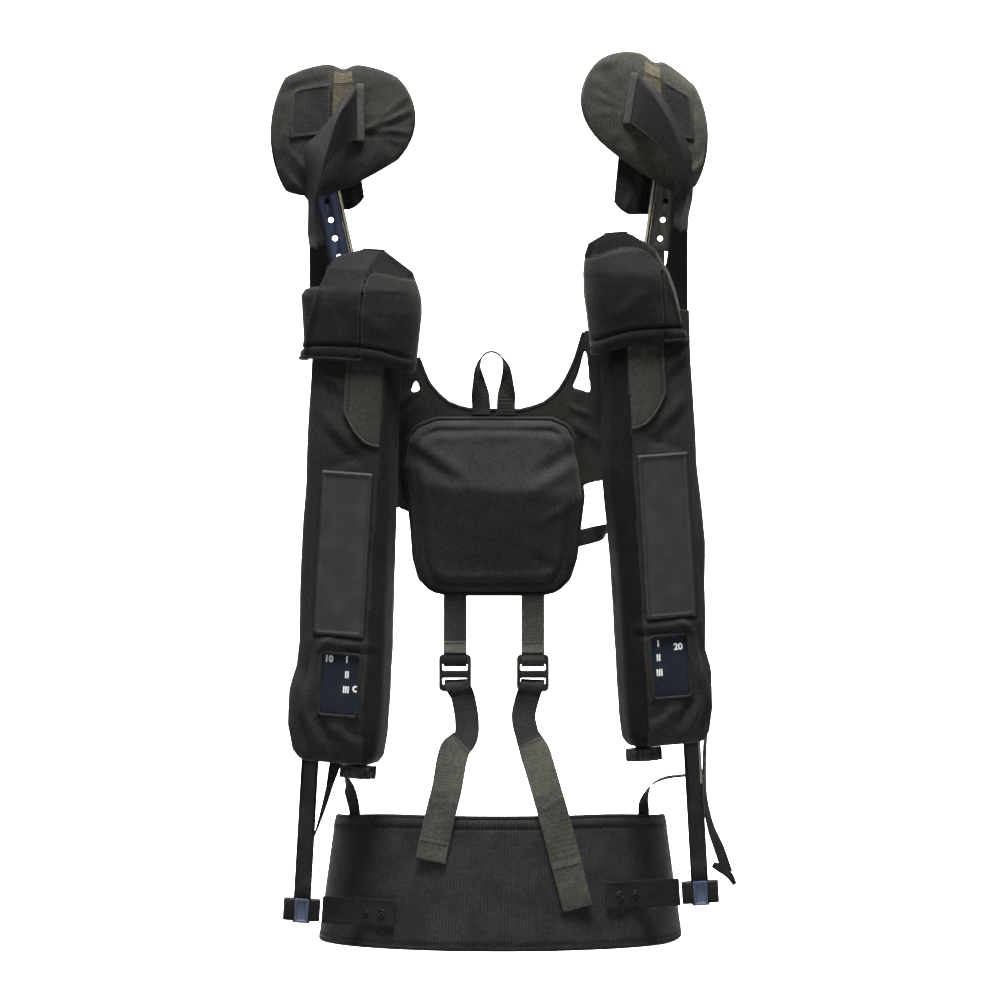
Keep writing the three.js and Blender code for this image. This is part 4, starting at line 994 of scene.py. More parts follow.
# The inner side of each sleeve, facing the other, takes a darker copy of the nylon: painted shade.
SHADED_SIDE_CLOTH = {
    "left": cloth(
        "side_nylon_painted_shade_left", (0.008, 0.008, 0.0085), (0.013, 0.013, 0.0125),
        thread_mm=1.3, relief=0.32, sheen=0.15, patches=7.0,
    ),
    "right": cloth(
        "side_nylon_painted_shade_right", (0.0045, 0.0045, 0.005), (0.008, 0.008, 0.008),
        thread_mm=1.3, relief=0.32, sheen=0.08, patches=7.0,
    ),
}
PATCH_RUBBER = moulded(
    "patch_rubber", (0.030, 0.030, 0.032), (0.038, 0.038, 0.040), rough=0.55, grain=1100.0, metal=0.0, relief=0.3
)
PLATE_BLUE = moulded("plate_blue", (0.014, 0.018, 0.027), (0.017, 0.022, 0.032), rough=0.3, grain=200.0)
PRINT_WHITE = moulded("print_white", (0.80, 0.80, 0.78), (0.88, 0.88, 0.86), rough=0.6)
INSERT_CLOTH = cloth("insert_cloth", (0.030, 0.030, 0.026), (0.046, 0.046, 0.040), thread_mm=1.2, relief=0.4, sheen=0.3)
for side in HINGES:
    to_place = SLEEVE_FRAME[side]
    cover_bm = cloth_grid(132, 190, lambda u, v: sleeve_cover(side, u, v))
    bmesh.ops.remove_doubles(cover_bm, verts=cover_bm.verts, dist=2e-5)
    foot = [e for e in cover_bm.edges if e.is_boundary and all(v.co.z < -0.49 for v in e.verts)]
    for shrink, rise in ((0.9, -1.6), (0.55, 1.5), (0.05, 3)):
        grown = bmesh.ops.extrude_edge_only(cover_bm, edges=foot)["geom"]
        for v in (g for g in grown if isinstance(g, bmesh.types.BMVert)):
            v.co = Vector((v.co.x * shrink, v.co.y * shrink, (SLEEVE_Z[0] + rise) * MM))
        foot = [g for g in grown if isinstance(g, bmesh.types.BMEdge) and g.is_boundary]
    # Faces on the inner side take the darker copy, painted shade.
    for face in faced(cover_bm).faces:
        face.material_index = int(face.calc_center_median().x < (FACE_SHIFT[side] - SHADED_SIDE_FROM) * MM)
    sleeve_cloth = piece(f"sleeve_cover_{side}", stood(cover_bm, to_place), [SLEEVE_CLOTH, SHADED_SIDE_CLOTH[side]])
    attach(sleeve_cloth, "harness")
    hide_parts(f"sleeve_{side}")
    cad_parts[f"spring_housing_{side}"].data.materials.clear()
    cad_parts[f"spring_housing_{side}"].data.materials.append(BLACK_NYLON)

    frame_line = []
    for x, z in ((WINDOW[0], WINDOW[2]), (WINDOW[1], WINDOW[2]), (WINDOW[1], WINDOW[3]), (WINDOW[0], WINDOW[3])):
        inward = (math.copysign(4, -x), 4 if z == WINDOW[2] else -4)
        first = (x + inward[0], z) if len(frame_line) in (4, 12) else (x, z + inward[1])
        last = (x, z + inward[1]) if len(frame_line) in (4, 12) else (x + inward[0], z)
        for share in (0, 0.33, 0.67, 1):
            mid = Vector(first).lerp(Vector(last), share)
            bow = (Vector((x, z)) - (Vector(first) + Vector(last)) / 2) * 0.8 * 4 * share * (1 - share) * 0.5
            frame_line.append(to_place @ (sleeve_back(side, mid.x + bow.x, mid.y + bow.y, 1.0) * MM))
    window_edge = welt(f"window_edge_{side}", frame_line, 1.9, SLEEVE_CLOTH, closed=True)
    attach(window_edge, "harness")

    plate_bm = cloth_grid(14, 18, lambda u, v: sleeve_back(side, *in_box(WINDOW, u, v, PLATE_GAP), -1.2) * MM)
    faced(stood(plate_bm, to_place))
    plate = sewn_thick(piece(f"scale_card_{side}", plate_bm, PLATE_BLUE), 0.6, round_mm=0.15)
    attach(plate, "harness")
    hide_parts(f"scale_plate_{side}")

# Sewn on each sleeve are a bare rubber patch with a raised border and, under the hem of the cap, an insert of
# lighter cloth with a rounded lower edge. The scale card behind the window is printed with plain numerals.
SCALE_PRINT = {
    "left": (
        ("I", -5.58, -394.27, 10),
        ("II", -6.62, -410.42, 10),
        ("III", -6.65, -426.63, 10),
        ("10", 14.86, -394.64, 10),
        ("c", -16.54, -423.78, 14),
    ),
    "right": (
        ("I", -11.16, -396.24, 10),
        ("II", -11.58, -411.35, 10),
        ("III", -11.61, -427.55, 10),
        ("20", 11.29, -401.08, 10),
    ),
}
INSERT_X, INSERT_TOP, INSERT_FOOT, INSERT_RISE = (-27, 12), -70, -163, 34
INSERT_WIDTH, LABEL_SEAM = INSERT_X[1] - INSERT_X[0], 2.4


def label_face(side, u, v):
    x, z = in_box(LABEL, u, v)
    inset = inset_of(LABEL, x, z)
    border = blend_to(0, 1.0, inset) * (1 - 0.55 * blend_to(3.4, 4.6, inset))
    border += 0.12 * noise.noise(Vector((x / 17, z / 30, 4)))
    return sleeve_back(side, x, z, 0.9 + 2.0 * border) * MM


def insert_face(side, u, v):
    x = INSERT_X[0] + INSERT_WIDTH * u
    foot = INSERT_FOOT + INSERT_RISE * u**2.2
    z = foot + (INSERT_TOP - foot) * v
    swell = 0.9 * (1 - math.exp(-min(u * INSERT_WIDTH, (1 - u) * INSERT_WIDTH, z - foot) / 2.5))
    return sleeve_back(side, x, z, 1.3 + swell + 0.3 * noise.noise(Vector((x / 12, z / 22, 5)))) * MM


def unit_square(steps):
    """The four sides of a square, each a row of shares across and up it."""
    corners = [Vector(corner) for corner in ((0, 0), (1, 0), (1, 1), (0, 1), (0, 0))]
    for start, end in zip(corners, corners[1:]):
        yield [start.lerp(end, share) for share in np.linspace(0, 1, steps)]


for side, (_, _, _, out, _) in HINGES.items():
    to_place = SLEEVE_FRAME[side]
    label_bm = faced(stood(cloth_grid(46, 120, lambda u, v: label_face(side, u, v)), to_place))
    label = piece(f"label_rubber_{side}", label_bm, PATCH_RUBBER)
    label_wall = label.modifiers.new("wall", "SOLIDIFY")
    label_wall.thickness = 0.9 * MM
    label_wall.offset = 0
    insert_bm = faced(stood(cloth_grid(30, 50, lambda u, v: insert_face(side, u, v)), to_place))
    insert = sewn_thick(piece(f"insert_cloth_{side}", insert_bm, INSERT_CLOTH), 1.0, round_mm=0.3)
    for made, node, slot in ((label, "label_patch", "patch_rubber"), (insert, "insert_panel", "panel_cloth")):
        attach(made, "harness")
        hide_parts(f"{node}_{side}")
    facing = to_place.to_3x3() @ Vector((0, -1, 0))
    seam = [to_place @ insert_face(side, 0.9, v) + facing * 0.75 * MM for v in np.linspace(0.12, 0.94, 24)]
    edge = [to_place @ insert_face(side, u, 0.0) + facing * 0.2 * MM for u in np.linspace(0.0, 1.0, 26)]
    side_edge = [to_place @ insert_face(side, 1.0, v) + facing * 0.2 * MM for v in np.linspace(0.0, 0.96, 30)]
    insert_stitches = stitches(
        f"insert_stitches_{side}", [(seam, facing)], DARK_THREAD, pitch=4.2, length=2.6, width=0.9
    )
    insert_cord = welt(f"insert_cord_{side}", edge + side_edge[1:], 1.7, INSERT_CLOTH)
    label_row = []
    for line in unit_square(24):
        points = [sleeve_back(side, *in_box(LABEL, u, v, LABEL_SEAM), 3.35) for u, v in line]
        label_row.append(([to_place @ (at * MM) for at in points], facing))
    label_stitches = stitches(f"label_stitches_{side}", label_row, DARK_THREAD, pitch=4.0, length=2.6, width=0.5)
    across = to_place.to_3x3() @ Vector((out, 0, 0))
    up = (to_place.to_3x3() @ Vector((0, 0, 1))).normalized()
    turn = Matrix((across, up, across.cross(up))).transposed().to_4x4()
    printed = []
    for i, (mark, x, z, tall) in enumerate(SCALE_PRINT[side]):
        text = bpy.data.curves.new(f"mark_{side}_{i}", "FONT")
        text.body = mark
        text.size = tall * MM
        text.extrude = 0.05 * MM
        text.offset = 0.34 * MM
        text.align_x, text.align_y = "CENTER", "CENTER"
        text.resolution_u = 3
        typed = placed(f"mark_{side}_{i}", text)
        mesh = as_mesh(typed)
        bpy.data.objects.remove(typed)
        mesh.transform(Matrix.Translation(to_place @ (sleeve_back(side, x, z, -0.7) * MM)) @ turn)
        mesh.materials.clear()
        mesh.materials.append(PRINT_WHITE)
        printed.append(placed(f"scale_mark_{side}_{i}", mesh))
    for made in (insert_stitches, insert_cord, label_stitches, *printed):
        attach(made, "harness")

# The cap is a sewn hood over the shoulder hinge, open on the wearer's side and rolled at its hem.
# A stitched seam runs up its back to a rounded panel, and the cloth folds over at its outer edge.
# The tables give its depth and its inner and outer edge at each height.
CAP_Z = (-74, -56, -20, -8, -1, 4, 24, 36, 46)
CAP_DEEP = (58.4, 62, 64, 63.5, 62.5, 61, 51, 35, 13)
CAP_INNER = {
    "left": (-56, -58, -60, -59, -57.5, -56, -47, -28, -12),
    "right": (-51.5, -52.5, -55.5, -55.5, -55, -55, -52, -47, -26),
}
CAP_OUTER = {"left": (68, 71, 76, 78, 73, 53, 50, 39, 7), "right": (53, 48, 40, 36, 34, 32, 22, 12, -6)}
CAP_MOUTH, CAP_WALL = 20, 2.2
CAP_SEAM = {"left": (-13, 21, 8), "right": (13, 29, 26)}
CAP_FOLDS = (((-10, -20), (-42, -44), 7, 1.2), ((2, -6), (-30, 6), 8, 1.0), ((16, -10), (4, -46), 6, -1.0))
CAP_EDGE_FOLD = {"left": ((34, 14), (51, -60), 3, 4.6), "right": ((14, 14), (36, -60), 3, 3.2)}


def cap_point(side, s, z, lift):
    """A point of the hood, s round it from the inner to the outer edge of its mouth."""
    turn = s * math.pi / 2
    inner, outer = np.interp(z, CAP_Z, CAP_INNER[side]), np.interp(z, CAP_Z, CAP_OUTER[side])
    x = (outer - inner) / 2 * math.copysign(abs(math.sin(turn)) ** 0.66, turn)
    deep = np.interp(z, CAP_Z, CAP_DEEP)
    y = CAP_MOUTH - deep * max(0.0, math.cos(turn)) ** 0.66
    leaning = Vector((math.sin(turn) * 0.6, -math.cos(turn), blend_to(0, 46, z))).normalized()
    droop = 9 * blend_to(-0.1, -0.9, s) * blend_to(-36, -74, z) + 4 * blend_to(0.3, 1, s) * blend_to(-36, -74, z)
    return Vector(((inner + outer) / 2 + x, y, z - droop)) + leaning * lift


def cap_arch(side, x):
    """Height of the top of the sewn panel above a point across the cap."""
    seam, top, reach = CAP_SEAM[side]
    beside = max(0.0, (x - (seam - reach)) / reach)
    return top - reach * (1 - math.sqrt(max(0.0, 1 - min(1.0, beside) ** 2))) - 0.006 * max(0.0, seam - reach - x) ** 2


def cap_lift(side, x, z):
    seam, top, reach = CAP_SEAM[side]
    arch = cap_arch(side, x)
    within = blend_to(-1.2, 1.2, min(seam - x, arch - z))
    lift = 2.4 * within
    if z < top - reach:
        lift -= 2.8 * bump_at(x, seam + 0.8, 1.7)
    if x < seam:
        lift -= 2.6 * bump_at(z, arch + 0.8, 1.9)
        lift -= 4.5 * blend_to(0, 3, z - arch) * (1 - blend_to(34, 43, z))
    if side == "left":
        lift -= 7 * blend_to(0, 3, x - 38 + 0.22 * z) * blend_to(-74, -50, z)
    lift += 1.2 * bump_at(z, -66, 5) - 2.6 * bump_at(z, -57.5 - 0.0012 * x * x, 1.8) * blend_to(-60, -50, x)
    lift += folded(x, z, (*CAP_FOLDS, CAP_EDGE_FOLD[side]))
    return lift + noise.noise(Vector((x / 24, z / 24, 6)))


CAP_CLOTH = cloth(
    "cap_nylon", (0.009, 0.009, 0.0095), (0.016, 0.016, 0.015), thread_mm=1.3, relief=0.32, sheen=0.24, patches=8.0
)
# Above the arch of the sewn panel, a near-black copy that hardly reflects: painted shade inside the mouth.
CAP_MOUTH_SHADE = cloth("cap_mouth_painted_shade", (0.006, 0.006, 0.0066), (0.010, 0.010, 0.0104), thread_mm=1.0, relief=0.2, sheen=0.12)
CAP_MOUTH_SHADE.node_tree.nodes["Principled BSDF"].inputs["Specular IOR Level"].default_value = 0.02
# The seam thread is lighter than the cap cloth: real stitches, their lightness a painted highlight on the seam.
CAP_THREAD_LIT = cloth("cap_thread_painted_highlight", (0.028, 0.028, 0.026), (0.045, 0.044, 0.040), thread_mm=0.5, relief=0.1, sheen=0.1)
for side in HINGES:
    to_place = SLEEVE_FRAME[side]

    def cap_face(u, v, side=side):
        z = CAP_Z[0] + (CAP_Z[-1] - CAP_Z[0]) * v
        plain = cap_point(side, 2 * u - 1, z, 0)
        return cap_point(side, 2 * u - 1, z, cap_lift(side, plain.x, z) * blend_to(16, 8, plain.y)) * MM

    cap_bm = faced(cloth_grid(110, 84, cap_face))
    if sum(f.normal.y * (f.calc_center_median().y - 0.01) for f in cap_bm.faces) < 0:
        bmesh.ops.reverse_faces(cap_bm, faces=cap_bm.faces)
    # Faces above the arch, beside the seam, take the near-black copy: painted shade.
    for face in cap_bm.faces:
        at = face.calc_center_median() / MM
        face.material_index = int(at.x < CAP_SEAM[side][0] and at.z > cap_arch(side, at.x) + 1.4)
    cap = piece(f"cap_hood_{side}", stood(cap_bm, to_place), [CAP_CLOTH, CAP_MOUTH_SHADE])
    cap_wall = cap.modifiers.new("cloth", "SOLIDIFY")
    cap_wall.thickness = CAP_WALL * MM
    cap_wall.offset = -1
    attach(cap, "harness")
    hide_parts(f"shoulder_cap_{side}")
    hem_line = [to_place @ (cap_point(side, s, CAP_Z[0] + 1.5, -0.6) * MM) for s in np.linspace(-1, 1, 70)]
    cap_hem = welt(f"cap_hem_{side}", hem_line, 2.4, CAP_CLOTH)
    top_line = [to_place @ (cap_point(side, s, CAP_Z[-1] - 0.5, -0.8) * MM) for s in np.linspace(-1, 1, 40)]
    cap_top = welt(f"cap_top_hem_{side}", top_line, 1.8, CAP_CLOTH)
    seam_x, seam_top, seam_reach = CAP_SEAM[side]
    rows = []
    for shift in (-2.4, 3.4):
        row, facing = [], []
        for z in np.linspace(-54, seam_top - seam_reach, 22):
            s = min(np.linspace(-0.9, 0.9, 361), key=lambda s: abs(cap_point(side, s, z, 0).x - seam_x - shift))
            row.append(to_place @ (cap_point(side, s, z, cap_lift(side, seam_x + shift, z) + 0.3) * MM))
            facing.append(to_place.to_3x3() @ Vector((0.25 * s, -1, 0.1)))
        rows.append((row, facing))
    cap_stitches = stitches(f"cap_stitches_{side}", rows, CAP_THREAD_LIT, pitch=3.8, length=2.8, width=0.8)
    for made in (cap_hem, cap_top, cap_stitches):
        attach(made, "harness")

# The arm rail is a drilled aluminium channel with bare flange edges. Its web is anodised grey, a darker bluish
# copy on the left, painted shade, and a lighter one on the right, painted light.
# The hinge bracket under the cap is blackened steel.
RAIL_WEB_SHADE_AND_LIGHT = {
    "left": moulded("rail_web_painted_shade", (0.045, 0.055, 0.095), (0.065, 0.076, 0.125), rough=0.36, grain=260.0, metal=0.45),
    "right": moulded(
        "rail_web_painted_light", (0.060, 0.060, 0.050), (0.085, 0.085, 0.070), rough=0.36, grain=260.0, metal=0.45
    ),
}
HINGE_BLACK = moulded("hinge_black", (0.014, 0.014, 0.015), (0.026, 0.026, 0.027), rough=0.36, grain=400.0, metal=0.6)
BARE_INNER, BARE_OUTER, BARE_FOOT = -8.4, 10.8, 25
for side, (_, _, _, out, tilt) in HINGES.items():
    rail = hard_copy(f"rail_channel_{side}", f"arm_rail_{side}", 0.35, [RAIL_WEB_SHADE_AND_LIGHT[side], BARE_METAL_AND_GLINT])
    home = Matrix.Rotation(-math.radians(tilt), 4, "Y") @ HINGE_FRAME[side].inverted()
    for face in rail.data.polygons:
        at = home @ face.center / MM
        bare = at.x < BARE_INNER or (at.x > BARE_OUTER and (home.to_3x3() @ face.normal).y < -0.3)
        face.material_index = int(at.z > BARE_FOOT and bare)
    front = min((home @ v.co).y for v in rail.data.vertices) + 0.1 * MM
    # A thin black cord down the rail's front stands in for its groove: painted shade.
    groove_shade_line = [home.inverted() @ Vector((-11.2 * MM, front, z * MM)) for z in (30, 80, 130, 190)]
    groove = welt(f"rail_groove_{side}", groove_shade_line, 0.9, HINGE_BLACK)
    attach(groove, f"arm_{side}")
    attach(rail, f"arm_{side}")
    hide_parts(f"arm_rail_{side}")
    bracket = hard_copy(f"hinge_fork_{side}", f"hinge_bracket_{side}", 0.6, HINGE_BLACK)
    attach(bracket, "harness")
    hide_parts(f"hinge_bracket_{side}")

# Each cuff is a foam trough for the upper arm in brushed cloth, pulled in at the notch over its valley.
# The cloth is blown out a little from the cut pattern, and gathers in folds towards the strap.
CUFF = {
    "left": {"valley": 5, "outer": (76, 168, 75), "inner": (77, 185, 57), "flap": (-10, 86)},
    "right": {"valley": 0, "outer": (56, 146, 69), "inner": (78, 186, 61), "flap": (-37, 62)},
}
# The left cuff is a darker copy and the right a lighter copy of one cloth: painted shade and painted light.
CUFF_CLOTH_SHADE_AND_LIGHT = {
    "left": cloth(
        "cuff_cloth_shaded_copy", (0.021, 0.021, 0.021), (0.040, 0.039, 0.036),
        thread_mm=0.9, relief=0.4, sheen=0.34, patches=16.0,
    ),
    "right": cloth(
        "cuff_cloth_lit_copy", (0.044, 0.043, 0.038), (0.066, 0.064, 0.055),
        thread_mm=0.9, relief=0.4, sheen=0.34, patches=16.0,
    ),
}
CUFF_BACK, CUFF_CURL, CUFF_FOAM, CUFF_SWELL = -19, 44, 16, 2.0
TAPE_CUT, FLAP_TOP, FLAP_WIDTH, RAIL_HALF = (0.075, 0.023), 196, 64, 14.5


def cuff_point(side, s, t, lift, back=False):
    """A point on the arm's side of the trough or on its back, s across it and t up it from -1 to 1."""
    shape = CUFF[side]
    corner = (0.43 if side == "left" else 0.48) - 0.07 * blend_to(-0.3, 0.3, s)
    across, up = s * math.sqrt(1 - corner * t * t), t * math.sqrt(1 - corner * s * s)
    half = shape["outer" if s > 0 else "inner"][0]
    share = blend_to(-0.9, 0.9, across)
    middle = shape["inner"][1] + (shape["outer"][1] - shape["inner"][1]) * share
    tall = shape["inner"][2] + (shape["outer"][2] - shape["inner"][2]) * share
    notch = 6 * math.exp(-((s / 0.16) ** 2)) * max(0.0, t) ** 3
    plump = 1 - 0.72 * max(abs(s), abs(t)) ** 6
    y = CUFF_BACK - CUFF_CURL * across * across + (CUFF_FOAM / 2 if back else -CUFF_FOAM / 2) * plump - lift
    return Vector((shape["valley"] + across * half, y, middle + up * tall - notch))


def cuff_folds(side, x, z):
    """Folds of the cloth: they fan out from the foot of the valley over the inner lobe."""
    folds = 0.0
    depth = 1.0 if side == "left" else 0.25
    for far, tall in (((-70, 214), 0.7), ((-74, 196), 1.5), ((-66, 171), 1.2), ((-60, 158), 0.5)):
        folds += depth * (crease(x, z, (-22, 174), far, 3.4, tall) - crease(x, z + 7, (-22, 174), far, 3.2, 0.7 * tall))
    if side == "left":
        folds += crease(x, z, (30, 108), (64, 152), 5, 2.2) + crease(x, z, (46, 102), (72, 132), 4, 1.8)
        folds -= crease(x, z, (24, 226), (64, 214), 6, 2.0)
    else:
        folds += crease(x, z, (30, 96), (52, 120), 4, 2.4) + crease(x, z, (34, 82), (50, 96), 4, 2.0)
    return folds + 0.7 * noise.noise(Vector((x / 14, z / 14, 8 if side == "left" else 9)))


def blown(made, cap_mm, seam):
    """Lets the foam press the cloth out from its cut by no more than cap_mm, with its seam held."""
    flat = [v.co.copy() for v in made.data.vertices]
    made.vertex_groups.new(name="seam").add(seam, 1.0, "REPLACE")
    press = made.modifiers.new("press", "CLOTH")
    press.settings.vertex_group_mass = "seam"
    press.settings.quality = 5
    press.settings.use_pressure = True
    press.settings.uniform_pressure_force = 4
    press.settings.effector_weights.gravity = 0
    press.point_cache.frame_start, press.point_cache.frame_end = 1, 20
    for step in range(1, 21):
        scene.frame_set(step)
    pressed = made.evaluated_get(bpy.context.evaluated_depsgraph_get()).to_mesh()
    swollen = [v.co.copy() for v in pressed.vertices]
    made.modifiers.clear()
    made.vertex_groups.clear()
    scene.frame_set(1)
    for v, start, end in zip(made.data.vertices, flat, swollen):
        move = end - start
        v.co = start + move * min(1.0, cap_mm * MM / max(1e-9, move.length))


CUFF_TAPE = webbing("cuff_tape", (0.080, 0.072, 0.050), (0.135, 0.120, 0.086), rib_mm=2.6, relief=0.8)
CUFF_LOOPS = cloth(
    "cuff_loops", (0.019, 0.019, 0.020), (0.033, 0.032, 0.032), thread_mm=1.4, relief=0.6, sheen=0.4, patches=30.0
)
for side in HINGES:
    to_place = HINGE_FRAME[side]
    home = to_place.inverted()
    cuff_bm = cloth_grid(44, 38, lambda u, v: cuff_point(side, 2 * u - 1, 2 * v - 1, 0) * MM)
    lining_bm = cloth_grid(44, 38, lambda u, v: cuff_point(side, 2 * u - 1, 2 * v - 1, 0, back=True) * MM)
    lining = piece("cuff_lining", lining_bm, CUFF_CLOTH_SHADE_AND_LIGHT[side])
    cuff_bm.from_mesh(lining.data)
    bpy.data.objects.remove(lining)
    cuff_bm.verts.index_update()
    seam = [v.index for v in cuff_bm.verts if v.is_boundary]
    bmesh.ops.bridge_loops(cuff_bm, edges=[e for e in cuff_bm.edges if e.is_boundary])
    faced(cuff_bm)
    cuff = piece(f"cuff_cushion_{side}", stood(cuff_bm, to_place), CUFF_CLOTH_SHADE_AND_LIGHT[side])
    blown(cuff, CUFF_SWELL, seam)
    cuff_bm = bmesh.new()
    cuff_bm.from_mesh(cuff.data)
    bmesh.ops.subdivide_edges(cuff_bm, edges=cuff_bm.edges, cuts=1, use_grid_fill=True, smooth=0.4)
    cuff_bm.normal_update()
    shape = CUFF[side]
    for v in cuff_bm.verts:
        at = home @ v.co / MM
        facing = v.normal.y
        half = shape["outer" if at.x > shape["valley"] else "inner"][0]
        away = abs(at.x - shape["valley"]) / half
        if facing < -0.2:
            v.co += v.normal * cuff_folds(side, at.x, at.z) * (1 - 0.8 * blend_to(0.9, 1, away)) * MM
        else:
            v.co += v.normal * 0.8 * noise.noise(Vector((at.x / 18, at.z / 18, 3))) * MM
    cuff_bm.to_mesh(cuff.data)
    cuff_bm.free()
    cuff.data.polygons.foreach_set("use_smooth", [True] * len(cuff.data.polygons))

    corners = ((1, -1), (1, 1), (-1, 1), (-1, -1), (1, -1))
    rim = []
    for (s0, t0), (s1, t1) in zip(corners, corners[1:]):
        for w in np.linspace(0, 1, 40, endpoint=False):
            at = cuff_point(side, s0 + (s1 - s0) * w, t0 + (t1 - t0) * w, -CUFF_FOAM * 0.14)
            rim.append(to_place @ (at * MM))
    cuff_rim = welt(f"cuff_rim_{side}", rim, 1.5, CUFF_CLOTH_SHADE_AND_LIGHT[side], closed=True)

    def tape_face(u, v, side=side):
        rise = 3.4 + 0.5 * bump_at(v, 0.8, 0.03) + 0.6 * blend_to(0.79, 0.82, v)
        return cuff_point(side, -0.15 + 0.3 * u, -0.1 + 1.03 * v, rise) * MM

    def patch_face(u, v, side=side):
        edge = min(u * 42, (1 - u) * 42, v * 52, (1 - v) * 52)
        rise = 3.0 + 1.2 * blend_to(0, 1.2, edge) - 0.7 * blend_to(2.6, 3.8, edge)
        return cuff_point(side, 0.19 + 0.56 * u, -0.07 + 0.78 * v, rise) * MM

    tape_bm = cut_to_size(stood(cloth_grid(14, 60, tape_face), to_place), *TAPE_CUT, turned=True)
    cuff_tape = sewn_thick(piece(f"cuff_tape_{side}", tape_bm, CUFF_TAPE), 1.4)
    patch_bm = stood(cloth_grid(40, 50, patch_face), to_place)
    cuff_patch = sewn_thick(piece(f"cuff_loops_{side}", patch_bm, CUFF_LOOPS), 1.2)
    square = []
    for line in unit_square(18):
        points = [patch_face(*in_box((0, 1, 0, 1), u, v, 0.04)) - Vector((0, 0.7, 0)) * MM for u, v in line]
        square.append(([to_place @ at for at in points], (0, -1, 0)))
    patch_stitches = stitches(f"cuff_patch_stitches_{side}", square, PALE_THREAD, pitch=3.6, length=2.4, width=0.5)

    tilt = math.radians(HINGES[side][4])
    flap_inner, flap_foot = shape["flap"]

    def flap_face(u, v):
        rounded = 14 * max(0.0, 1 - min(u, 1 - u) / 0.3) ** 2 * (1 - v)
        z = flap_foot + (FLAP_TOP - flap_foot) * v + rounded
        x = flap_inner + FLAP_WIDTH * u + (v - 0.5) * (FLAP_TOP - flap_foot) * math.tan(tilt) * 0.6
        half = shape["outer" if x > shape["valley"] else "inner"][0]
        on_pad = CUFF_BACK + 8.9 - CUFF_CURL * ((x - shape["valley"]) / half) ** 2
        off_rail = abs(x - z * math.tan(tilt)) - RAIL_HALF
        fold = crease(x, z, (flap_inner + 8, flap_foot + 8), (flap_inner + 24, flap_foot + 36), 4, 3)
        y = 10.1 + (on_pad - 9.1) * blend_to(6, 24, off_rail) - fold * blend_to(6, 14, off_rail)
        return Vector((x, y, z)) * MM

    flap_bm = stood(cloth_grid(44, 50, flap_face), to_place)
    flap = sewn_thick(piece(f"cuff_pocket_{side}", flap_bm, BLACK_CLOTH), 2.0)
    for made, node, slot in (
        (cuff, "cuff_pad", "black_cloth"),
        (cuff_tape, "cuff_webbing", "khaki_webbing"),
        (cuff_patch, "cuff_patch", "black_cloth"),
        (flap, "cuff_flap", "black_cloth"),
    ):
        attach(made, f"arm_{side}")
        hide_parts(f"{node}_{side}")
    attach(cuff_rim, f"arm_{side}")
    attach(patch_stitches, f"arm_{side}")

# The arm strap is smooth coated cloth with a turned hem at its upper end. It stands out of the trough in one
# sharp fold, as it would over an arm, and ends above the hinge, where a flap on the harness carries its line on.
# Each row is one place along it: its lower edge, its fold and its upper edge, as x, y, z from the hinge.
ARM_STRAP = {
    "left": (
        ((-11, -33, 161), (-11, -34, 217), (-10.5, -33, 221)),
        ((2, -40, 158), (1, -52, 202), (3, -46, 206)),
        ((12, -51, 148), (10, -63, 187), (15.5, -54, 188)),
        ((18.5, -59, 141), (18.6, -70, 161), (34, -54, 166)),
        ((24, -65, 131), (24.7, -73, 141), (45, -52, 155)),
        ((29, -67, 112), (29.4, -73, 119), (44, -51, 124)),
        ((32.5, -64, 90), (34, -67, 97), (42, -44, 96)),
        ((26, -46, 62), (34, -36, 60), (43, -18, 62)),
        ((24, -2, 46), (33, 0, 44), (42, 12, 46)),
    ),
    "right": (
        ((-27, -36, 161), (-19, -36, 210), (-18.5, -35, 214)),
        ((-12, -45, 150), (-4, -54, 195), (-3, -48, 200)),
        ((2, -55, 138), (8, -64, 178), (10, -56, 186)),
        ((12, -61, 126), (21, -71, 152), (25, -58, 160)),
        ((18.5, -65, 117), (30, -72, 126), (37, -56, 132)),
        ((21, -63, 100), (33, -70, 105), (40, -53, 108)),
        ((23, -59, 82), (34.5, -63, 86), (41, -46, 86)),
        ((21, -46, 62), (29, -36, 60), (37.5, -18, 62)),
        ((21, -2, 46), (29, 0, 44), (37, 12, 46)),
    ),
}
STRAP_FLAP, STRAP_FLAP_TOP, STRAP_EDGE = {"left": (42, 88), "right": (37, 96)}, 47, 0.4
STRAP_CLOTH = cloth(
    "strap_cloth", (0.015, 0.015, 0.017), (0.023, 0.023, 0.025),
    thread_mm=0.7, relief=0.14, sheen=0.06, rough=0.8, patches=8.0,
)
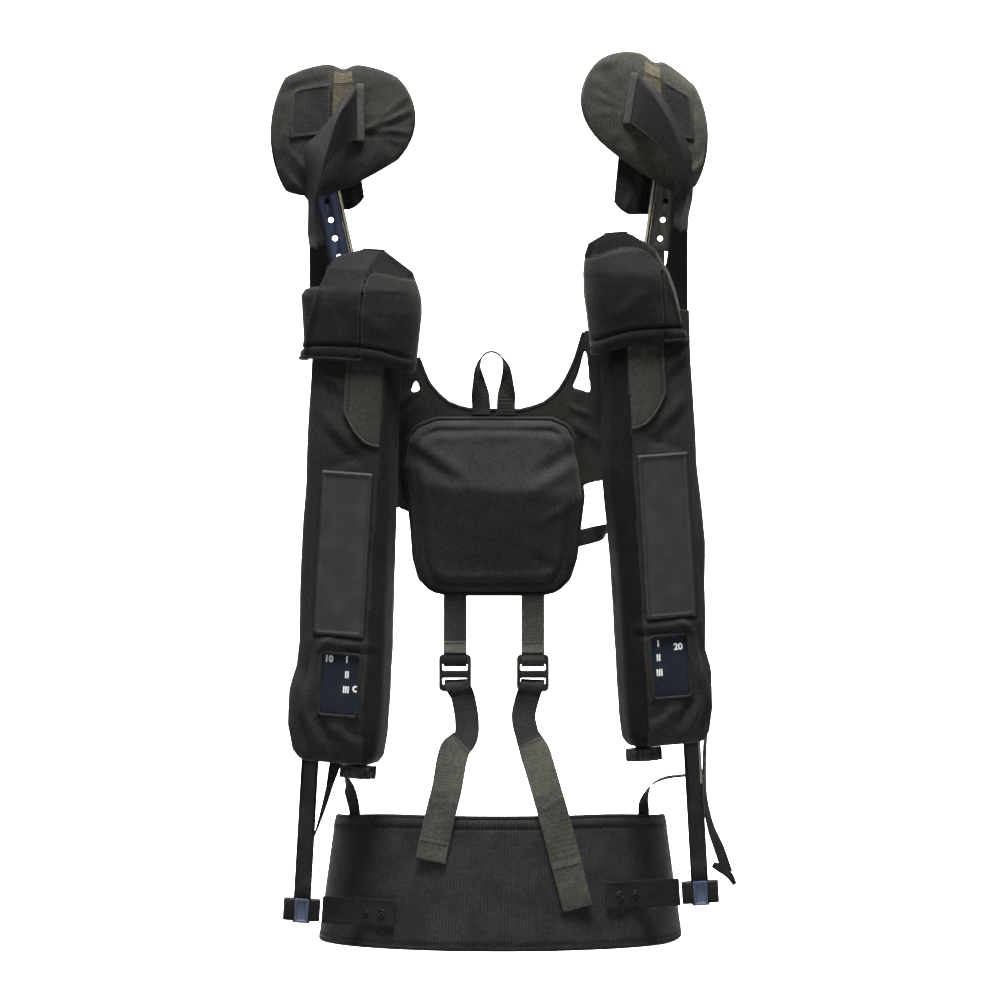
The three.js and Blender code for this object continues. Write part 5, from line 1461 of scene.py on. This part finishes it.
# The hem is a lighter copy of the strap cloth: a real turned hem, its lightness a painted highlight on its edge.
STRAP_HEM_LIT = cloth(
    "strap_hem_painted_highlight", (0.050, 0.049, 0.045), (0.072, 0.070, 0.065), thread_mm=0.7, relief=0.2, sheen=0.3, patches=20.0
)
for side, rows in ARM_STRAP.items():
    to_place = HINGE_FRAME[side]
    lower, fold, upper = ([Vector(row[i]) for row in rows] for i in range(3))

    def arm_strap_point(u, v):
        a, b, c = route(lower, u), route(fold, u), route(upper, u)
        bent = (1 - v) ** 2 * a + v * v * c + 2 * v * (1 - v) * (2 * b - (a + c) / 2)
        straight = a + (b - a) * 2 * v if v < 0.5 else b + (c - b) * (2 * v - 1)
        return (0.25 * bent + 0.75 * straight) * MM

    strap_bm = stood(cloth_grid(120, 28, arm_strap_point), to_place)
    strap = sewn_thick(piece(f"arm_strap_cloth_{side}", strap_bm, STRAP_CLOTH), 1.8, round_mm=0.7)
    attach(strap, f"arm_{side}")
    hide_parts(f"arm_strap_{side}")

    def hem_face(u, v):
        edge = arm_strap_point(0.002, u)
        return edge + Vector((-7.5 * v + 0.8, -2.2 + 1.6 * v, 0)) * MM

    hem_bm = stood(cloth_grid(30, 4, hem_face), to_place)
    hem = sewn_thick(piece(f"arm_strap_hem_{side}", hem_bm, STRAP_HEM_LIT), 2.2)
    edges = []
    for edge, v, end, count in (("edge", 0.985, 0.62, 60), ("lower_edge", 0.015, 0.4, 40)):
        line = [arm_strap_point(u, v) - Vector((0, STRAP_EDGE * MM, 0)) for u in np.linspace(0.01, end, count)]
        edges.append(welt(f"arm_strap_{edge}_{side}", [to_place @ at for at in line], 1.0, STRAP_CLOTH))
    for made in (hem, *edges):
        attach(made, f"arm_{side}")

    def flap_point(u, v):
        outer, long = STRAP_FLAP[side]
        z = STRAP_FLAP_TOP - long * u
        beside_rail = 12.6 + z * math.tan(math.radians(HINGES[side][4]))
        inner = max(beside_rail, 14.5 if z > 22 else 10.0)
        return Vector((inner + (outer - inner) * v, -12 + 23 * v, z)) * MM

    flap_bm = stood(cloth_grid(24, 10, flap_point), to_place)
    hinge_flap = sewn_thick(piece(f"hinge_flap_{side}", flap_bm, STRAP_CLOTH), 1.8)
    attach(hinge_flap, "harness")

# The shoulder straps are padded loops on the wearer's side of the yoke; narrow webbing brings each one back
# under the arm to the panel or the sleeve.
# SHOULDER_RUN is the depth and height of each turn of the padding.
SHOULDER_RUN = ((3.2, 50), (4.4, 78), (18, 94), (40, 96), (60, 80), (69, 45), (70, 0), (62, -40))
RETURN_RUN = {
    "left": ((-68, 61.8, -41.4), (-70, 52, -64), (-74, 32, -70), (-76, 12, -52), (-76, -3.5, -51)),
    "right": ((68, 61.8, -45.4), (84, 50, -48), (106, 34, -42), (123, 14, -34), (112, -5, -36), (84, -6.5, -43)),
}
RETURN_TAPE = webbing("return_tape", (0.016, 0.016, 0.016), (0.030, 0.030, 0.027), rib_mm=1.9)
SHOULDER_X, SHOULDER_WIDTH, RETURN_WIDTH = 68, 34, 18


def quilted(u, v):
    return 0.7 * bump_at(u * 14 % 1, 0.5, 0.22) - 0.9 * bump_at(abs(v - 0.5), 0.36, 0.03)


for side, (_, _, _, out, _) in HINGES.items():
    along = strap_line([((out * SHOULDER_X, y, z), (1, 0, 0)) for y, z in SHOULDER_RUN], SHOULDER_WIDTH)
    strap_bm = strap_bmesh(along, SHOULDER_WIDTH, 150, 20, lift=quilted)
    strap = sewn_thick(piece(f"shoulder_padding_{side}", strap_bm, BLACK_CLOTH), 6.4, round_mm=2.2)
    run = RETURN_RUN[side]
    last = len(run) - 1
    back = strap_line([(at, (out * (1 - i / last), 0, i / last)) for i, at in enumerate(run)], RETURN_WIDTH)
    tape = sewn_thick(piece(f"return_webbing_{side}", strap_bmesh(back, RETURN_WIDTH, 70), RETURN_TAPE), 1.7)
    for made, node, slot in ((strap, "shoulder_strap", "black_cloth"), (tape, "strap_webbing", "grey_webbing")):
        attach(made, "harness")
        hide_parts(f"{node}_{side}")
